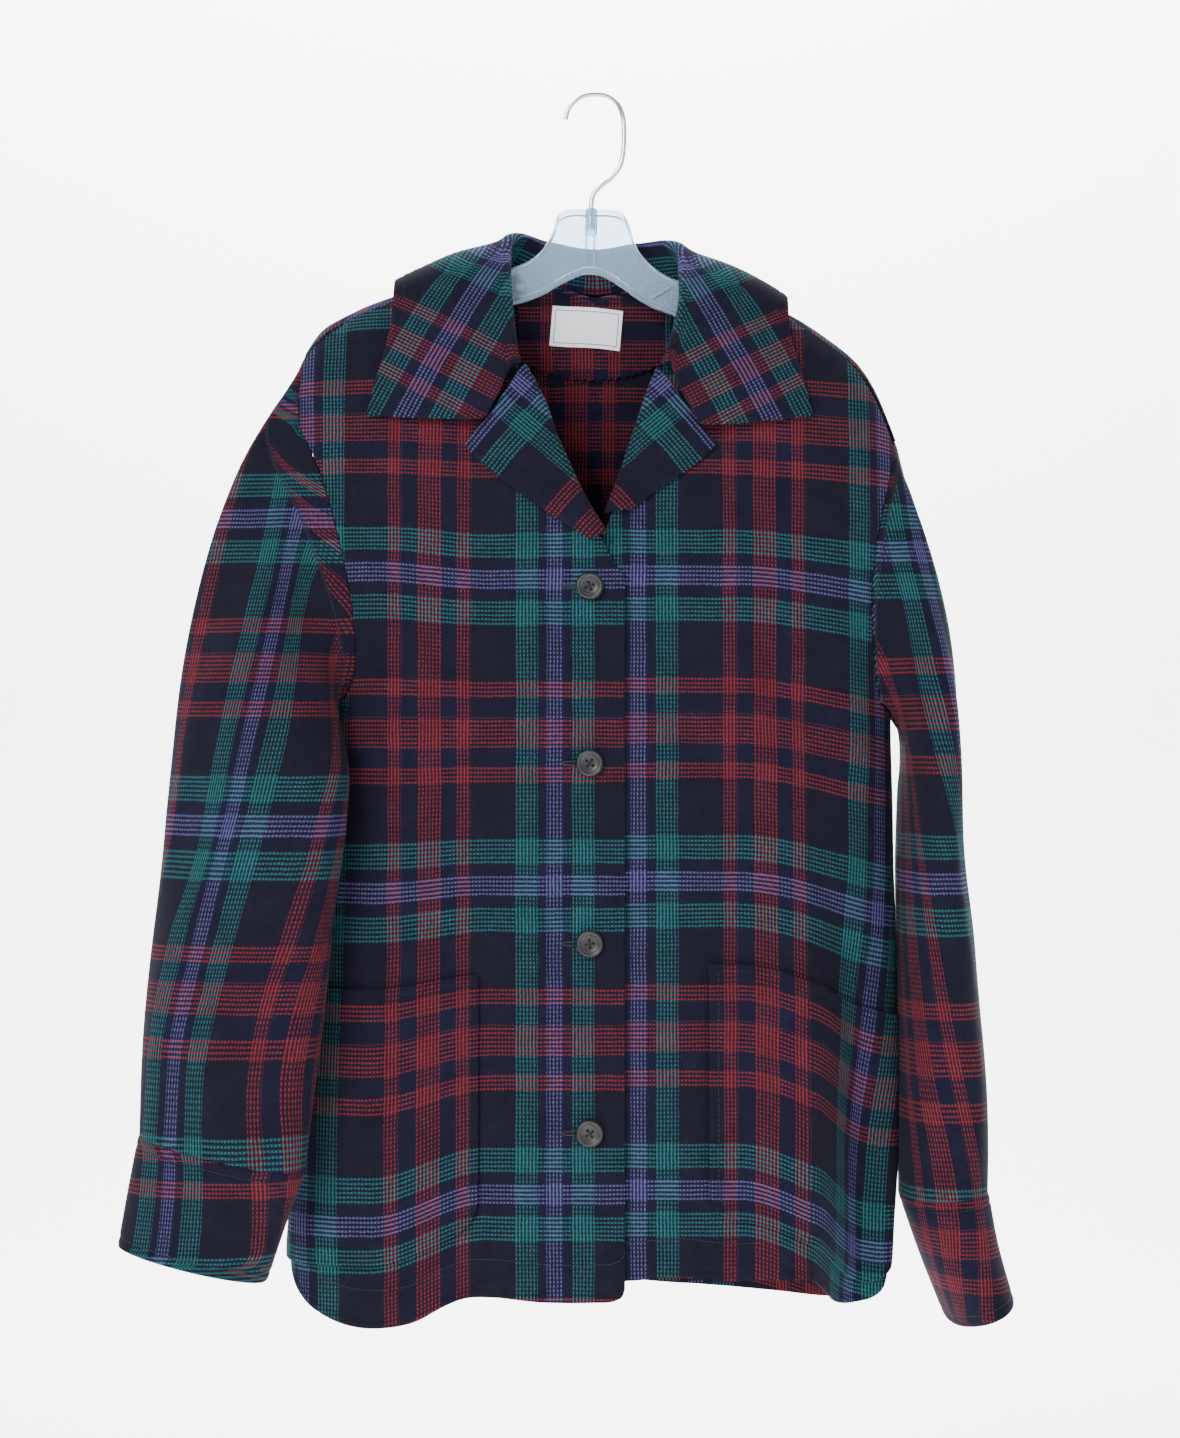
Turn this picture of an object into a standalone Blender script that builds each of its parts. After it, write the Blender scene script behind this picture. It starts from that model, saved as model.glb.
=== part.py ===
"""Plaid wool shirt jacket hanging on a clear plastic hanger.

Lengths in the tables are millimetres: x to the viewer's right, y away from the viewer,
z up. The origin is the inside top of the hook, where a rod bears. Sides are named by
where the viewer sees them in the tables (LEFT, RIGHT) and by the wearer in the pieces.
"""
import math

import bmesh
import bpy
import numpy as np

# Driving dimensions, mm
MM = 0.001
WALL = 2.0
COLLAR_WALL = 2.6
SEAM = 0.3
CENTRE_X = -3.0
LAP_LIFT = 2.6
LAP_SPARE = 1.0
CREST = 12.4
CREST_EXTRA = 10.0
SHOULDER_SEAM = 10.0
BUTTON_WIDTH = 18.5
BUTTON_THICKNESS = 4.0
BUTTON_HEIGHTS = (-345.5, -466.7, -590.0, -718.7)
POCKET_WIDTH = 160.0
POCKET_HEIGHT = 175.0
POCKET_CORNER = 22.0
POCKET_GAP = {-1: 1.8, 1: 2.6}
POCKET_STEP = 1.0
POCKET_NEAR = {-1: -76.0, 1: 81.0}
POCKET_TOP = {-1: -611.0, 1: -604.0}
LABEL_WIDTH = 50.0
LABEL_HEIGHT = 28.0
LABEL_X = -5.5
LABEL_Z = -158.0
LABEL_TILT = -5.0
LABEL_WALL = 1.0
FACING_WALL = 1.5
FACING_HALF = 54.0
FACING_DROP = 4.0
FACING_GAP = 1.3
FACING_LOW = -196.0
FACING_RISE = 14.0
ROLL_RADIUS = 4.1
ROLL_PUFF = 6.0
LAPEL_GAP = {-1: 1.6, 1: 0.8}
LAPEL_RETURN = 7.0
LAPEL_BULGE = 2.5
LAPEL_START = 0.03
LAPEL_END = {-1: 0.88, 1: 0.8}
END_PULL = 0.16
NECK_TRIM = 2.0
BASE_GAP = 1.0
CREST_ROUND = 7.0
FOLD_RADIUS = 3.4
FALL_BULGE = 4.0
SLEEVE_SIDES = 24
SLEEVE_GAP = 0.7
UNDERARM_TURN = 0.07
LEAVE_SCALE = (0.75, 0.1, 0.75)
LEAVE_DOWN = (0.0, 0.0, -0.6)
FRONT_COLUMNS = {
    -1: (0, 0.1, 0.2, 0.3, 0.4, 0.5, 0.58, 0.66, 0.74, 0.82, 0.91, 1),
    1: (0, 0.1, 0.2, 0.3, 0.4, 0.5, 0.58, 0.65, 0.69, 0.73, 0.77, 0.81, 0.85, 0.89, 0.94, 1),
}
BACK_COLUMNS = 25
SEAM_ROWS = 13
ARMHOLE_ROWS = 12
SLEEVE_SHIFT = {-1: 70.0, 1: 20.0}
CAP_ROWS = (0.1, 0.22, 0.36, 0.5, 0.64, 0.78, 0.9)
BUTTON_SIDES = 16
HOLE_RADIUS = 1.0
HOLE_CIRCLE = 2.5
HANGER_GAP = 4.6
BOSS_RADIUS = 4.2
BOSS_TOP = -78.0
BOSS_LOW = -97.0
HOOK_POINTS = 40
HANGER_THICKNESS = 7.0
WEB_THICKNESS = 2.6
WIRE = 3.5
LEFT, RIGHT = -1, 1
FRONT, BACK = 1, -1

# Body rings: half widths and depths from the centre line, squareness of the corners,
# and how far the right front steps back beyond its crease
RING_COLUMNS = ("z", "left", "right", "front", "back", "left_power", "right_power", "crease")
RINGS = (
    (-100, 224, 228, 52, 44, 3.0, 3.0, 0.00),
    (-220, 224, 228, 54, 46, 3.0, 3.0, 0.00),
    (-320, 206, 218, 56, 50, 2.8, 2.8, 0.00),
    (-430, 188, 210, 58, 53, 2.7, 2.6, 0.00),
    (-540, 190, 213, 60, 55, 3.2, 2.8, 0.10),
    (-640, 196, 214, 62, 57, 4.0, 3.2, 0.50),
    (-730, 202, 213, 64, 58, 4.6, 4.0, 0.80),
    (-800, 207, 209, 65, 58, 4.8, 4.4, 0.85),
    (-880, 208, 206, 65, 58, 4.8, 4.4, 0.85),
)
BACK_POWER = 3.0
CREASE_X = 147.0
CREASE_WIDTH = 40.0

# Top line of the shoulders, x against z
RIDGE = (
    (-215, -200), (-203, -181), (-192, -167), (-178, -156), (-164, -148), (-150, -143),
    (-132, -137), (-110, -129), (-90, -122), (-70, -115), (-50, -109), (0, -106),
    (50, -113), (70, -121), (90, -130), (110, -139), (127, -147), (144, -156), (158, -165),
    (172, -176), (186, -190), (196, -205), (205, -224), (214, -246),
)

# How far the cloth's level threads hang below level beside the front, by height
DROOP_COLUMNS = ("t", "left", "right")
DROOP = (
    (-150, 0, 0), (-240, -3, 5), (-341, -6, 14), (-450, 0, 20), (-555, 6, 28),
    (-627, 12, 42), (-700, 18, 48), (-763, 22, 52), (-860, 22, 52),
)
DROOP_LEFT = (-70.0, -150.0)
DROOP_RIGHT = (100.0, 235.0)

# Largest folds of the body, raised towards the outside
FOLD_COLUMNS = ("face", "s", "t", "half_width", "half_length", "lean", "height")
FOLDS = (
    (FRONT, -150, -800, 42, 150, 0.05, 7.0),
    (FRONT, -92, -790, 20, 120, 0.03, -6.0),
    (FRONT, 60, -760, 34, 190, 0.00, 3.0),
    (FRONT, 130, -700, 26, 160, -0.04, 3.5),
    (FRONT, -120, -330, 22, 90, 0.25, 3.0),
    (FRONT, 150, -330, 20, 90, -0.30, -3.5),
    (FRONT, 176, -400, 16, 90, -0.20, 4.5),
    (BACK, -110, -640, 34, 210, 0.05, 7.0),
    (BACK, -30, -680, 26, 170, 0.02, -6.0),
    (BACK, 70, -620, 36, 220, -0.04, 7.0),
    (BACK, 150, -700, 26, 150, -0.03, -5.0),
    (BACK, -130, -320, 22, 110, 0.25, -4.0),
    (BACK, 140, -340, 22, 110, -0.25, -4.0),
)

# Hem, s against z
HEM_LEFT_FRONT = (
    (24, -824), (22, -830), (16, -833), (2, -834), (-30, -834), (-66, -831), (-84, -832),
    (-100, -838), (-118, -847), (-140, -851), (-165, -849), (-190, -839), (-212, -822), (-238, -800),
)
HEM_RIGHT_FRONT = (
    (-23, -819), (30, -819), (60, -816), (96, -820), (126, -819), (154, -821), (172, -830),
    (190, -840), (212, -844), (232, -838), (252, -824),
)
HEM_BACK = (
    (-240, -800), (-215, -818), (-180, -834), (-130, -844), (-60, -842), (0, -838),
    (60, -842), (130, -846), (180, -848), (215, -838), (245, -824),
)

# Armholes, x against z on the front and on the back, from the shoulder down
ARMHOLE_FRONT = {
    LEFT: ((-203, -190), (-208, -214), (-205, -235), (-197, -250), (-188, -270), (-180, -298),
           (-173, -326), (-168, -353), (-165, -385), (-167, -405), (-176, -422)),
    RIGHT: ((213, -252), (208, -269), (203, -287), (197, -312), (194, -345), (195, -375),
            (199, -405), (204, -425)),
}
ARMHOLE_BACK = {
    LEFT: ((-203, -184), (-206, -205), (-203, -235), (-196, -270), (-188, -310), (-181, -350),
           (-178, -385), (-180, -412)),
    RIGHT: ((214, -250), (211, -275), (206, -305), (201, -340), (198, -375), (200, -405),
            (205, -425)),
}
UNDERARM = {LEFT: -430.0, RIGHT: -438.0}

# Roll line and neckline of each front, x against z, from the break upwards
BREAK = {LEFT: (21.0, -338.0), RIGHT: (-26.0, -350.0)}
ROLL = {
    LEFT: ((12, -327), (4, -310), (-4, -297), (-13, -280), (-22, -260), (-29, -244), (-37, -221),
           (-44, -206), (-52, -190)),
    RIGHT: ((2, -318), (9, -303), (14, -289), (20, -274), (28, -250), (35, -229), (42, -208), (48, -192)),
}
NECKLINE = {
    LEFT: ((-63, -182), (-71, -160), (-77, -138), (-79, -125)),
    RIGHT: ((59, -184), (68, -164), (75, -144), (78, -132)),
}

# Outer edge of each lapel, x against z, from the gorge seam down to the break
LAPEL = {
    LEFT: ((-74, -232), (-89, -248), (-79, -258), (-64, -271), (-44, -286), (-24, -300), (-9, -309),
           (2, -316), (10, -326)),
    RIGHT: ((74, -236), (84, -247), (73, -258), (59, -268), (38, -282), (24, -293), (13, -302), (8, -306)),
}

# Collar, from the centre back to each front end: the neck seam and the outer edge by x and
# by distance over the shoulder from its top (towards the front positive), and the fold
COLLAR_COLUMNS = ("neck_x", "neck_w", "fold_x", "fold_y", "fold_z", "edge_x", "edge_w")
COLLAR = {
    LEFT: (
        (0, -38, 0, 30, -104, 0, -84),
        (-40, -26, -32, 26, -99, -62, -80),
        (-70, -4, -56, 7, -96, -118, -46),
        (-78, 16, -59, -11, -122, -136, 2),
        (-74, 42, -57, -24, -151, -142, 36),
        (-66, 72, -54, -36, -177, -150, 66),
        (-59, 92, -52, -42, -190, -157, 90),
    ),
    RIGHT: (
        (0, -38, 0, 30, -104, 0, -84),
        (40, -26, 32, 26, -100, 62, -80),
        (70, -4, 57, 7, -102, 116, -46),
        (77, 14, 60, -11, -127, 131, 2),
        (72, 40, 59, -24, -150, 138, 32),
        (63, 66, 53, -35, -175, 145, 52),
        (55, 84, 48, -41, -191, 151, 74),
    ),
}
# Where the collar's columns stand along its table, closer together over the shoulders
COLLAR_PLACES = np.array((
    0, 0.6, 1.2, 1.8, 2.3, 2.6, 2.85, 3.1, 3.35, 3.6, 3.85, 4.1, 4.4, 4.9, 5.4, 6,
    6.6, 7.1, 7.6, 7.9, 8.15, 8.4, 8.65, 8.9, 9.15, 9.4, 9.7, 10.2, 10.8, 11.4, 12,
))
# Front end of each collar fall, x against z, from the gorge to the corner
COLLAR_END = {
    LEFT: ((-59, -193), (-67, -214), (-76, -232), (-106, -231), (-134, -229), (-157, -227)),
    RIGHT: ((55, -194), (64, -215), (74, -235), (102, -233), (128, -230), (151, -227)),
}

# Sleeve rings below the armhole: centre, half width and depth, turn seen from above in
# degrees, and how much higher the outer side is than the middle
SLEEVE_COLUMNS = ("z", "x", "y", "half_width", "half_depth", "turn", "dip")
SLEEVE = {
    LEFT: (
        (-470, -227, -57, 61, 38, 16, 10),
        (-510, -231, -59, 62, 38, 16, 12),
        (-560, -236, -62, 61, 38, 15, 12),
        (-655, -246, -72, 61, 36, 14, 12),
        (-728, -251, -80, 57, 33, 12, 12),
    ),
    RIGHT: (
        (-480, 236, -6, 18, 62, 4, 6),
        (-540, 238, -6, 18, 62, 4, 6),
        (-600, 242, -6, 21, 60, 4, 6),
        (-680, 246, -6, 25, 54, 4, 4),
        (-765, 243, -8, 29, 44, 10, 2),
    ),
}
CUFF = {
    LEFT: ((-728, -251, -80, 57, 33, 12, 12), (-765, -261, -82, 54, 31, 12, 11),
           (-801, -270, -84, 51, 31, 12, 11)),
    RIGHT: ((-765, 243, -8, 29, 44, 10, 2), (-805, 254, -8, 24, 46, 10, 6),
            (-846, 268, -8, 20, 48, 10, 9)),
}
SLEEVE_POWER = 2.2

# Hanger stations from the centre out: upper and lower edge, x and z
PLATE = {
    LEFT: ((-3, -79, -3, -124), (-18, -79, -9, -125), (-25, -82, -16, -128), (-28, -92, -24, -132),
           (-34, -104, -34, -138), (-44, -114, -46, -143), (-58, -120, -58, -146)),
    RIGHT: ((12, -79, 4, -125), (20, -81, 10, -128), (25, -90, 18, -133), (29, -104, 29, -141),
            (38, -116, 41, -148), (50, -125, 52, -152), (60, -129, 62, -156)),
}
ARM_STATIONS = (76, 94, 112, 130, 146, 160, 172, 181, 186)
ARM_HEIGHT = (24.0, 15.0)

# Hook wire, x against z, from its tip
HOOK = (
    (-20, -16), (-18, -9), (-13, -3), (-7, 0.6), (0, 1.75), (9, 0.6), (16, -4.5), (20, -13),
    (21, -24), (20.5, -38), (18, -49), (12, -57), (4, -63), (-1, -70), (-2, -80), (-2, -92),
)

COLOURS = {
    "wool": ((0.035, 0.04, 0.065), 0.92, 0.0),
    "label": ((0.86, 0.85, 0.87), 0.7, 0.0),
    "button": ((0.11, 0.10, 0.115), 0.45, 0.0),
    "plastic": ((0.62, 0.74, 0.88), 0.12, 0.0),
    "steel": ((0.72, 0.72, 0.74), 0.22, 1.0),
}


def hermite(xs, ys, at):
    """Smooth curve through table points."""
    xs = np.asarray(xs, float)
    ys = np.asarray(ys, float)
    if xs[0] > xs[-1]:
        xs, ys = xs[::-1], ys[::-1]
    slope = np.gradient(ys, xs)
    at = np.clip(at, xs[0], xs[-1])
    k = np.clip(np.searchsorted(xs, at) - 1, 0, len(xs) - 2)
    span = xs[k + 1] - xs[k]
    u = (at - xs[k]) / span
    first = (1 + 2 * u) * (1 - u) ** 2 * ys[k] + u * (1 - u) ** 2 * span * slope[k]
    return first + u * u * (3 - 2 * u) * ys[k + 1] + u * u * (u - 1) * span * slope[k + 1]


def column(table, names, name, at):
    """One named column of a table as a smooth function of its first column."""
    rows = np.array(table, float)
    return hermite(rows[:, 0], rows[:, names.index(name)], at)


def along(points, fraction):
    """Points at fractions of the length of a chain of points."""
    points = np.asarray(points, float)
    steps = np.linalg.norm(np.diff(points, axis=0), axis=1)
    length = np.concatenate(([0], np.cumsum(steps)))
    return np.stack([np.interp(np.asarray(fraction) * length[-1], length, c) for c in points.T], -1)


def smoothstep(low, high, at):
    u = np.clip((at - low) / (high - low), 0, 1)
    return u * u * (3 - 2 * u)


def ridge(x):
    rows = np.array(RIDGE, float)
    return hermite(rows[:, 0], rows[:, 1], x)


# Shoulder crest: a parabola, so that the drop below the crest and the distance over it
# are each a function of the other
CREST_Y = np.linspace(0, 140, 1401)
CREST_DROP = CREST_Y ** 2 / CREST
CREST_WAY = CREST_Y / 2 * np.sqrt(1 + (2 * CREST_Y / CREST) ** 2) + CREST / 4 * np.arcsinh(2 * CREST_Y / CREST)


def way_of(drop):
    return np.interp(drop, CREST_DROP, CREST_WAY)


def ring_point(angle, z, face):
    """A body ring seen from its middle; angle 0 is the centre of the face."""
    across, ahead = np.sin(angle), np.cos(angle) * face
    right, front = across > 0, ahead > 0
    ring = {name: column(RINGS, RING_COLUMNS, name, z) for name in RING_COLUMNS[1:]}
    wide = np.where(right, ring["right"], ring["left"])
    deep = np.where(front, ring["front"], ring["back"])
    power = np.where(front, np.where(right, ring["right_power"], ring["left_power"]), BACK_POWER)
    radius = ((abs(across) / wide) ** power + (abs(ahead) / deep) ** power) ** (-1 / power)
    x = radius * across
    step = np.where(front, ring["crease"] * smoothstep(CREASE_X, CREASE_X + CREASE_WIDTH, x), 0)
    return CENTRE_X + x, -radius * ahead * (1 - step)


LEVELS = np.arange(-900.0, -79.0, 20.0)
ANGLES = np.linspace(-2.4, 2.4, 481)


def measure_rings():
    """For each face and level, the distance round from the face's centre at each angle."""
    ways = {}
    for face in (FRONT, BACK):
        rows = []
        for z in LEVELS:
            x, y = ring_point(ANGLES, np.full(len(ANGLES), z), face)
            way = np.concatenate(([0], np.cumsum(np.hypot(np.diff(x), np.diff(y)))))
            rows.append(way - np.interp(0, ANGLES, way))
        ways[face] = np.array(rows)
    return ways


WAYS = measure_rings()


def ring_angle(face, s, z):
    """Angle at the distance s round the ring at the height z."""
    place = np.clip((z - LEVELS[0]) / (LEVELS[1] - LEVELS[0]), 0, len(LEVELS) - 1.001)
    low = place.astype(int)
    angle = np.zeros(len(s))
    for k in np.unique(low):
        here = low == k
        share = place[here] - k
        below = np.interp(s[here], WAYS[face][k], ANGLES)
        above = np.interp(s[here], WAYS[face][k + 1], ANGLES)
        angle[here] = below * (1 - share) + above * share
    return angle


def side_seam(face, side, z):
    """Distance round from the face's centre to the side seam."""
    at_side = [np.interp(side * math.pi / 2, ANGLES, row) for row in WAYS[face]]
    return np.interp(z, LEVELS, at_side)


def surface(face, s, level):
    """Outer side of the body without folds, s round from the centre and level up the cloth."""
    x, y = ring_point(ring_angle(face, s, level), level, face)
    way = ridge(x) + CREST_EXTRA - level
    depth = np.interp(abs(way), CREST_WAY, CREST_Y)
    z = ridge(x) - depth ** 2 / CREST
    ring_depth = abs(y) + 1e-3
    thin = (ring_depth ** -6 + (depth + 1e-3) ** -6) ** (-1 / 6)
    turned = np.where(depth < ring_depth * 0.4, -face, np.sign(y))
    return np.stack([x, np.where(way < 0, face, turned) * thin, z], -1)


def fold_height(face, s, level):
    height = np.zeros(len(s))
    for row in FOLDS:
        fold = dict(zip(FOLD_COLUMNS, row))
        if fold["face"] == face:
            up = level - fold["t"]
            across = (s - fold["s"] - fold["lean"] * up) / fold["half_width"]
            height += fold["height"] * np.exp(-across ** 2 - (up / fold["half_length"]) ** 4)
    return height


def lifted(face, s, level, lift):
    """Points on the folded body, raised by lift along its outward normal."""
    s, level, lift = (a.astype(float).ravel() for a in np.broadcast_arrays(s, level, lift))
    step = 1.5
    across = surface(face, s + step, level) - surface(face, s - step, level)
    upward = surface(face, s, level + step) - surface(face, s, level - step)
    normal = np.cross(across, upward) * face
    normal /= np.linalg.norm(normal, axis=1)[:, None]
    return surface(face, s, level) + normal * (lift + fold_height(face, s, level))[:, None]


def droop(face, s, t):
    left = column(DROOP, DROOP_COLUMNS, "left", t) * smoothstep(-DROOP_LEFT[0], -DROOP_LEFT[1], -s)
    right = column(DROOP, DROOP_COLUMNS, "right", t) * smoothstep(*DROOP_RIGHT, s)
    return left + right if face == FRONT else (left + right) * 0.6


def level_of(x, z):
    """Level up the cloth at a place on the front or back given by x and z."""
    return ridge(x) + CREST_EXTRA - way_of(ridge(x) - z)


def cloth(points):
    """Places by x and z as distances s and levels."""
    points = np.array(points, float)
    return np.stack([points[:, 0] - CENTRE_X, level_of(points[:, 0], points[:, 1])], -1)


def coons(bottom, top, inner, outer, columns, rows):
    """Grid of places between four edges, each a function of a fraction."""
    a = np.asarray(columns)[None, :, None]
    v = np.asarray(rows)[:, None, None]
    low, high, near, far = bottom(columns)[None], top(columns)[None], inner(rows)[:, None], outer(rows)[:, None]
    corners = (1 - a) * (1 - v) * low[:, :1] + a * (1 - v) * low[:, -1:]
    corners = corners + (1 - a) * v * high[:, :1] + a * v * high[:, -1:]
    return (1 - v) * low + v * high + (1 - a) * near + a * far - corners


def grid_normals(grid):
    across = np.gradient(grid, axis=1)
    upward = np.gradient(grid, axis=0)
    normal = np.cross(across, upward)
    return normal / np.linalg.norm(normal, axis=2)[:, :, None]


def shell(name, outer, inner, material, closed=False):
    """Closed wall between two grids of points; closed joins the last column to the first."""
    rows, columns = outer.shape[:2]
    mesh = bmesh.new()
    walls = [[[mesh.verts.new(p * MM) for p in row] for row in grid] for grid in (outer, inner)]
    last = columns if closed else columns - 1
    for i in range(rows - 1):
        for j in range(last):
            k = (j + 1) % columns
            for wall, turn in ((walls[0], 1), (walls[1], -1)):
                mesh.faces.new((wall[i][j], wall[i][k], wall[i + 1][k], wall[i + 1][j])[::turn])
    a, b = walls
    for j in range(last):
        k = (j + 1) % columns
        mesh.faces.new((b[0][j], b[0][k], a[0][k], a[0][j]))
        mesh.faces.new((a[-1][j], a[-1][k], b[-1][k], b[-1][j]))
    if not closed:
        for i in range(rows - 1):
            mesh.faces.new((a[i][0], a[i + 1][0], b[i + 1][0], b[i][0]))
            mesh.faces.new((b[i][-1], b[i + 1][-1], a[i + 1][-1], a[i][-1]))
    bmesh.ops.recalc_face_normals(mesh, faces=mesh.faces)
    return finish(name, mesh, material)


def finish(name, mesh, material):
    data = bpy.data.meshes.new(name)
    mesh.to_mesh(data)
    mesh.free()
    made = bpy.data.objects.new(name, data)
    data.materials.append(MATERIALS[material])
    data.shade_smooth()
    data.set_sharp_from_angle(angle=math.radians(50))
    PARTS.objects.link(made)
    return made


def on_body(name, face, places, lift, wall=WALL, material="wool"):
    """A panel of cloth from a grid of places on the body, its outer side at lift."""
    s, level = places[:, :, 0], places[:, :, 1]
    lift = np.broadcast_to(lift, s.shape)
    shape = s.shape + (3,)
    outer = lifted(face, s, level, lift).reshape(shape)
    inner = lifted(face, s, level, lift - wall).reshape(shape)
    if face == BACK:
        outer, inner = outer[:, ::-1], inner[:, ::-1]
    return shell(name, outer, inner, material)


def hem_curve(table):
    rows = np.array(table, float)
    return rows if rows[0, 0] < rows[-1, 0] else rows[::-1]


def share_at(chain, count):
    """Fraction of a chain's length at its point number count - 1."""
    steps = np.linalg.norm(np.diff(chain, axis=0), axis=1)
    return steps[:count - 1].sum() / steps.sum()


def front_edges(side):
    """Outer chain (side seam and armhole) and inner chain (edge, roll line, neckline)."""
    hem = HEM_LEFT_FRONT if side == LEFT else HEM_RIGHT_FRONT
    side_z = hem[-1][1]
    heights = np.linspace(side_z, UNDERARM[side], 14)
    seam = np.stack([side_seam(FRONT, side, heights), heights], -1)
    armhole = cloth(ARMHOLE_FRONT[side][::-1])
    end = cloth([ARMHOLE_FRONT[side][0]])
    end[0, 1] = ridge(end[0, 0] + CENTRE_X) + CREST_EXTRA - SHOULDER_SEAM - SEAM
    outer = np.concatenate([seam, armhole[:-1], end])
    edge = np.array([[hem[0][0], hem[0][1]], [hem[0][0], BREAK[side][1]]])
    neck = cloth(NECKLINE[side])
    neck[-1, 1] = ridge(neck[-1, 0] + CENTRE_X) + CREST_EXTRA - SHOULDER_SEAM - SEAM
    inner = np.concatenate([edge, cloth(ROLL[side]), neck])
    return inner, outer


def lap(side, s, level):
    """How far the lapped front stands off the front beneath it, most at the break of the roll."""
    if side == RIGHT:
        return np.zeros(np.shape(s))
    puff = ROLL_PUFF * smoothstep(-34, 0, s) * np.exp(-((level + 302) / 26) ** 2)
    return LAP_LIFT * smoothstep(-70, -34, s) + puff


def front_places(side):
    """Grid of places of a front, its columns running up from the hem."""
    hem = hem_curve(HEM_LEFT_FRONT if side == LEFT else HEM_RIGHT_FRONT)
    inner, outer = front_edges(side)
    share = share_at(outer, 14)
    hem_outer = np.array([outer[0]])
    hem_chain = np.concatenate([hem[::-1][:-1], hem_outer]) if side == LEFT else \
        np.concatenate([hem[:-1], hem_outer])
    inner[0] = hem_chain[0]
    top_x = np.linspace(inner[-1, 0], outer[-1, 0], 12) + CENTRE_X
    top = np.stack([top_x - CENTRE_X, ridge(top_x) + CREST_EXTRA - SHOULDER_SEAM - SEAM], -1)
    columns = FRONT_COLUMNS[side]
    rows = np.concatenate([np.linspace(0, share, SEAM_ROWS), np.linspace(share, 1, ARMHOLE_ROWS)[1:]])
    places = coons(lambda f: along(hem_chain, f), lambda f: along(top, f),
                   lambda f: along(inner, f), lambda f: along(outer, f), columns, rows)
    return places[:, ::-1] if side == LEFT else places


def front_panel(name, side):
    places = front_places(side)
    return on_body(name, FRONT, places, lap(side, places[:, :, 0], places[:, :, 1]))


def back_places():
    """Grid of places of the back, its columns running up from the hem."""
    hem = hem_curve(HEM_BACK)
    sides = {}
    for side in (LEFT, RIGHT):
        heights = np.linspace(hem[0 if side == LEFT else -1, 1], UNDERARM[side], 14)
        seam = np.stack([side_seam(BACK, side, heights) - side * SEAM, heights], -1)
        armhole = cloth(ARMHOLE_BACK[side][::-1])
        top_x = ARMHOLE_BACK[side][0][0]
        end = np.array([[top_x - CENTRE_X, ridge(top_x) + CREST_EXTRA + SHOULDER_SEAM]])
        sides[side] = np.concatenate([seam, armhole, end])
    bottom = np.concatenate([[sides[LEFT][0]], hem[1:-1], [sides[RIGHT][0]]])
    top_x = np.array([-203, -190, -176, -160, -140, -120, -100, -82, -72, -62, -50, -34, -16, 0,
                      16, 34, 50, 62, 72, 82, 100, 120, 140, 160, 180, 198, 208, 214], float)
    neck = {side: np.array(COLLAR[side])[:4] for side in (LEFT, RIGHT)}
    neck_x = np.concatenate([neck[LEFT][::-1, 0], neck[RIGHT][1:, 0]])
    neck_w = np.concatenate([neck[LEFT][::-1, 1], neck[RIGHT][1:, 1]])
    over = np.where(abs(top_x) < 78, np.interp(top_x, neck_x, neck_w) - NECK_TRIM, SHOULDER_SEAM)
    over = np.minimum(over, SHOULDER_SEAM)
    top = np.stack([top_x - CENTRE_X, ridge(top_x) + CREST_EXTRA + over], -1)
    columns = np.linspace(0, 1, BACK_COLUMNS)
    share = share_at(sides[LEFT], 14)
    over = np.array([0, 0.14, 0.28, 0.42, 0.56, 0.7, 0.8, 0.88, 0.93, 0.965, 1.0])
    rows = np.concatenate([np.linspace(0, share, SEAM_ROWS), share + (1 - share) * over[1:]])
    places = coons(lambda f: along(bottom, f), lambda f: along(top, f),
                   lambda f: along(sides[LEFT], f), lambda f: side_shares(sides, f, share), columns, rows)
    return places


def side_shares(sides, fraction, share):
    """Points of the right side, its underarm brought to the same fraction as the left's."""
    other = share_at(sides[RIGHT], 14)
    return along(sides[RIGHT], np.interp(fraction, (0, share, 1), (0, other, 1)))


def back_panel():
    return on_body("back", BACK, back_places(), 0.0)


def lapel(name, side):
    """The turned facing: a short return inside the front, round the roll, out to its edge."""
    roll = cloth(ROLL[side][::-1])
    edge = cloth(LAPEL[side])
    rows = np.linspace(0, 1, 14)
    start = along(roll, LAPEL_START + (LAPEL_END[side] - LAPEL_START) * rows)
    end = along(edge, LAPEL_END[side] * rows)
    out = end - start
    width = np.linalg.norm(out, axis=1)[:, None]
    out = out / width
    lifts = [-ROLL_RADIUS * 2, -ROLL_RADIUS * 2]
    steps = [np.minimum(LAPEL_RETURN, width / 2), np.zeros_like(width)]
    for turn in (45, 90, 135):
        steps.append(np.full_like(width, -ROLL_RADIUS * math.sin(math.radians(turn))))
        lifts.append(-ROLL_RADIUS - ROLL_RADIUS * math.cos(math.radians(turn)))
    for share in (0, 0.15, 0.35, 0.6, 0.8, 1):
        steps.append(width * share)
        lifts.append(LAPEL_BULGE * math.sin(math.pi * share))
    places = np.stack([start + out * step for step in steps], 1)
    lift = np.array(lifts)[None] + LAPEL_GAP[side] + COLLAR_WALL / 2 + np.zeros(places.shape[:2])
    lift = lift + lap(side, places[:, :, 0], places[:, :, 1])
    middle = lifted(FRONT, places[:, :, 0], places[:, :, 1], lift).reshape(places.shape[:2] + (3,))
    normal = grid_normals(middle) * COLLAR_WALL / 2
    return shell(name, middle + normal, middle - normal, "wool")


def over_shoulder(x, way, lift):
    """Points by x and by the distance over the shoulder's crest, positive to the front."""
    s, level = x - CENTRE_X, ridge(x) + CREST_EXTRA - way
    lapped = np.where(x < 0, lap(LEFT, s, level) + LAP_SPARE, 0) * smoothstep(20, 60, way)
    return lifted(FRONT, s, level, lift + lapped)


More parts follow.
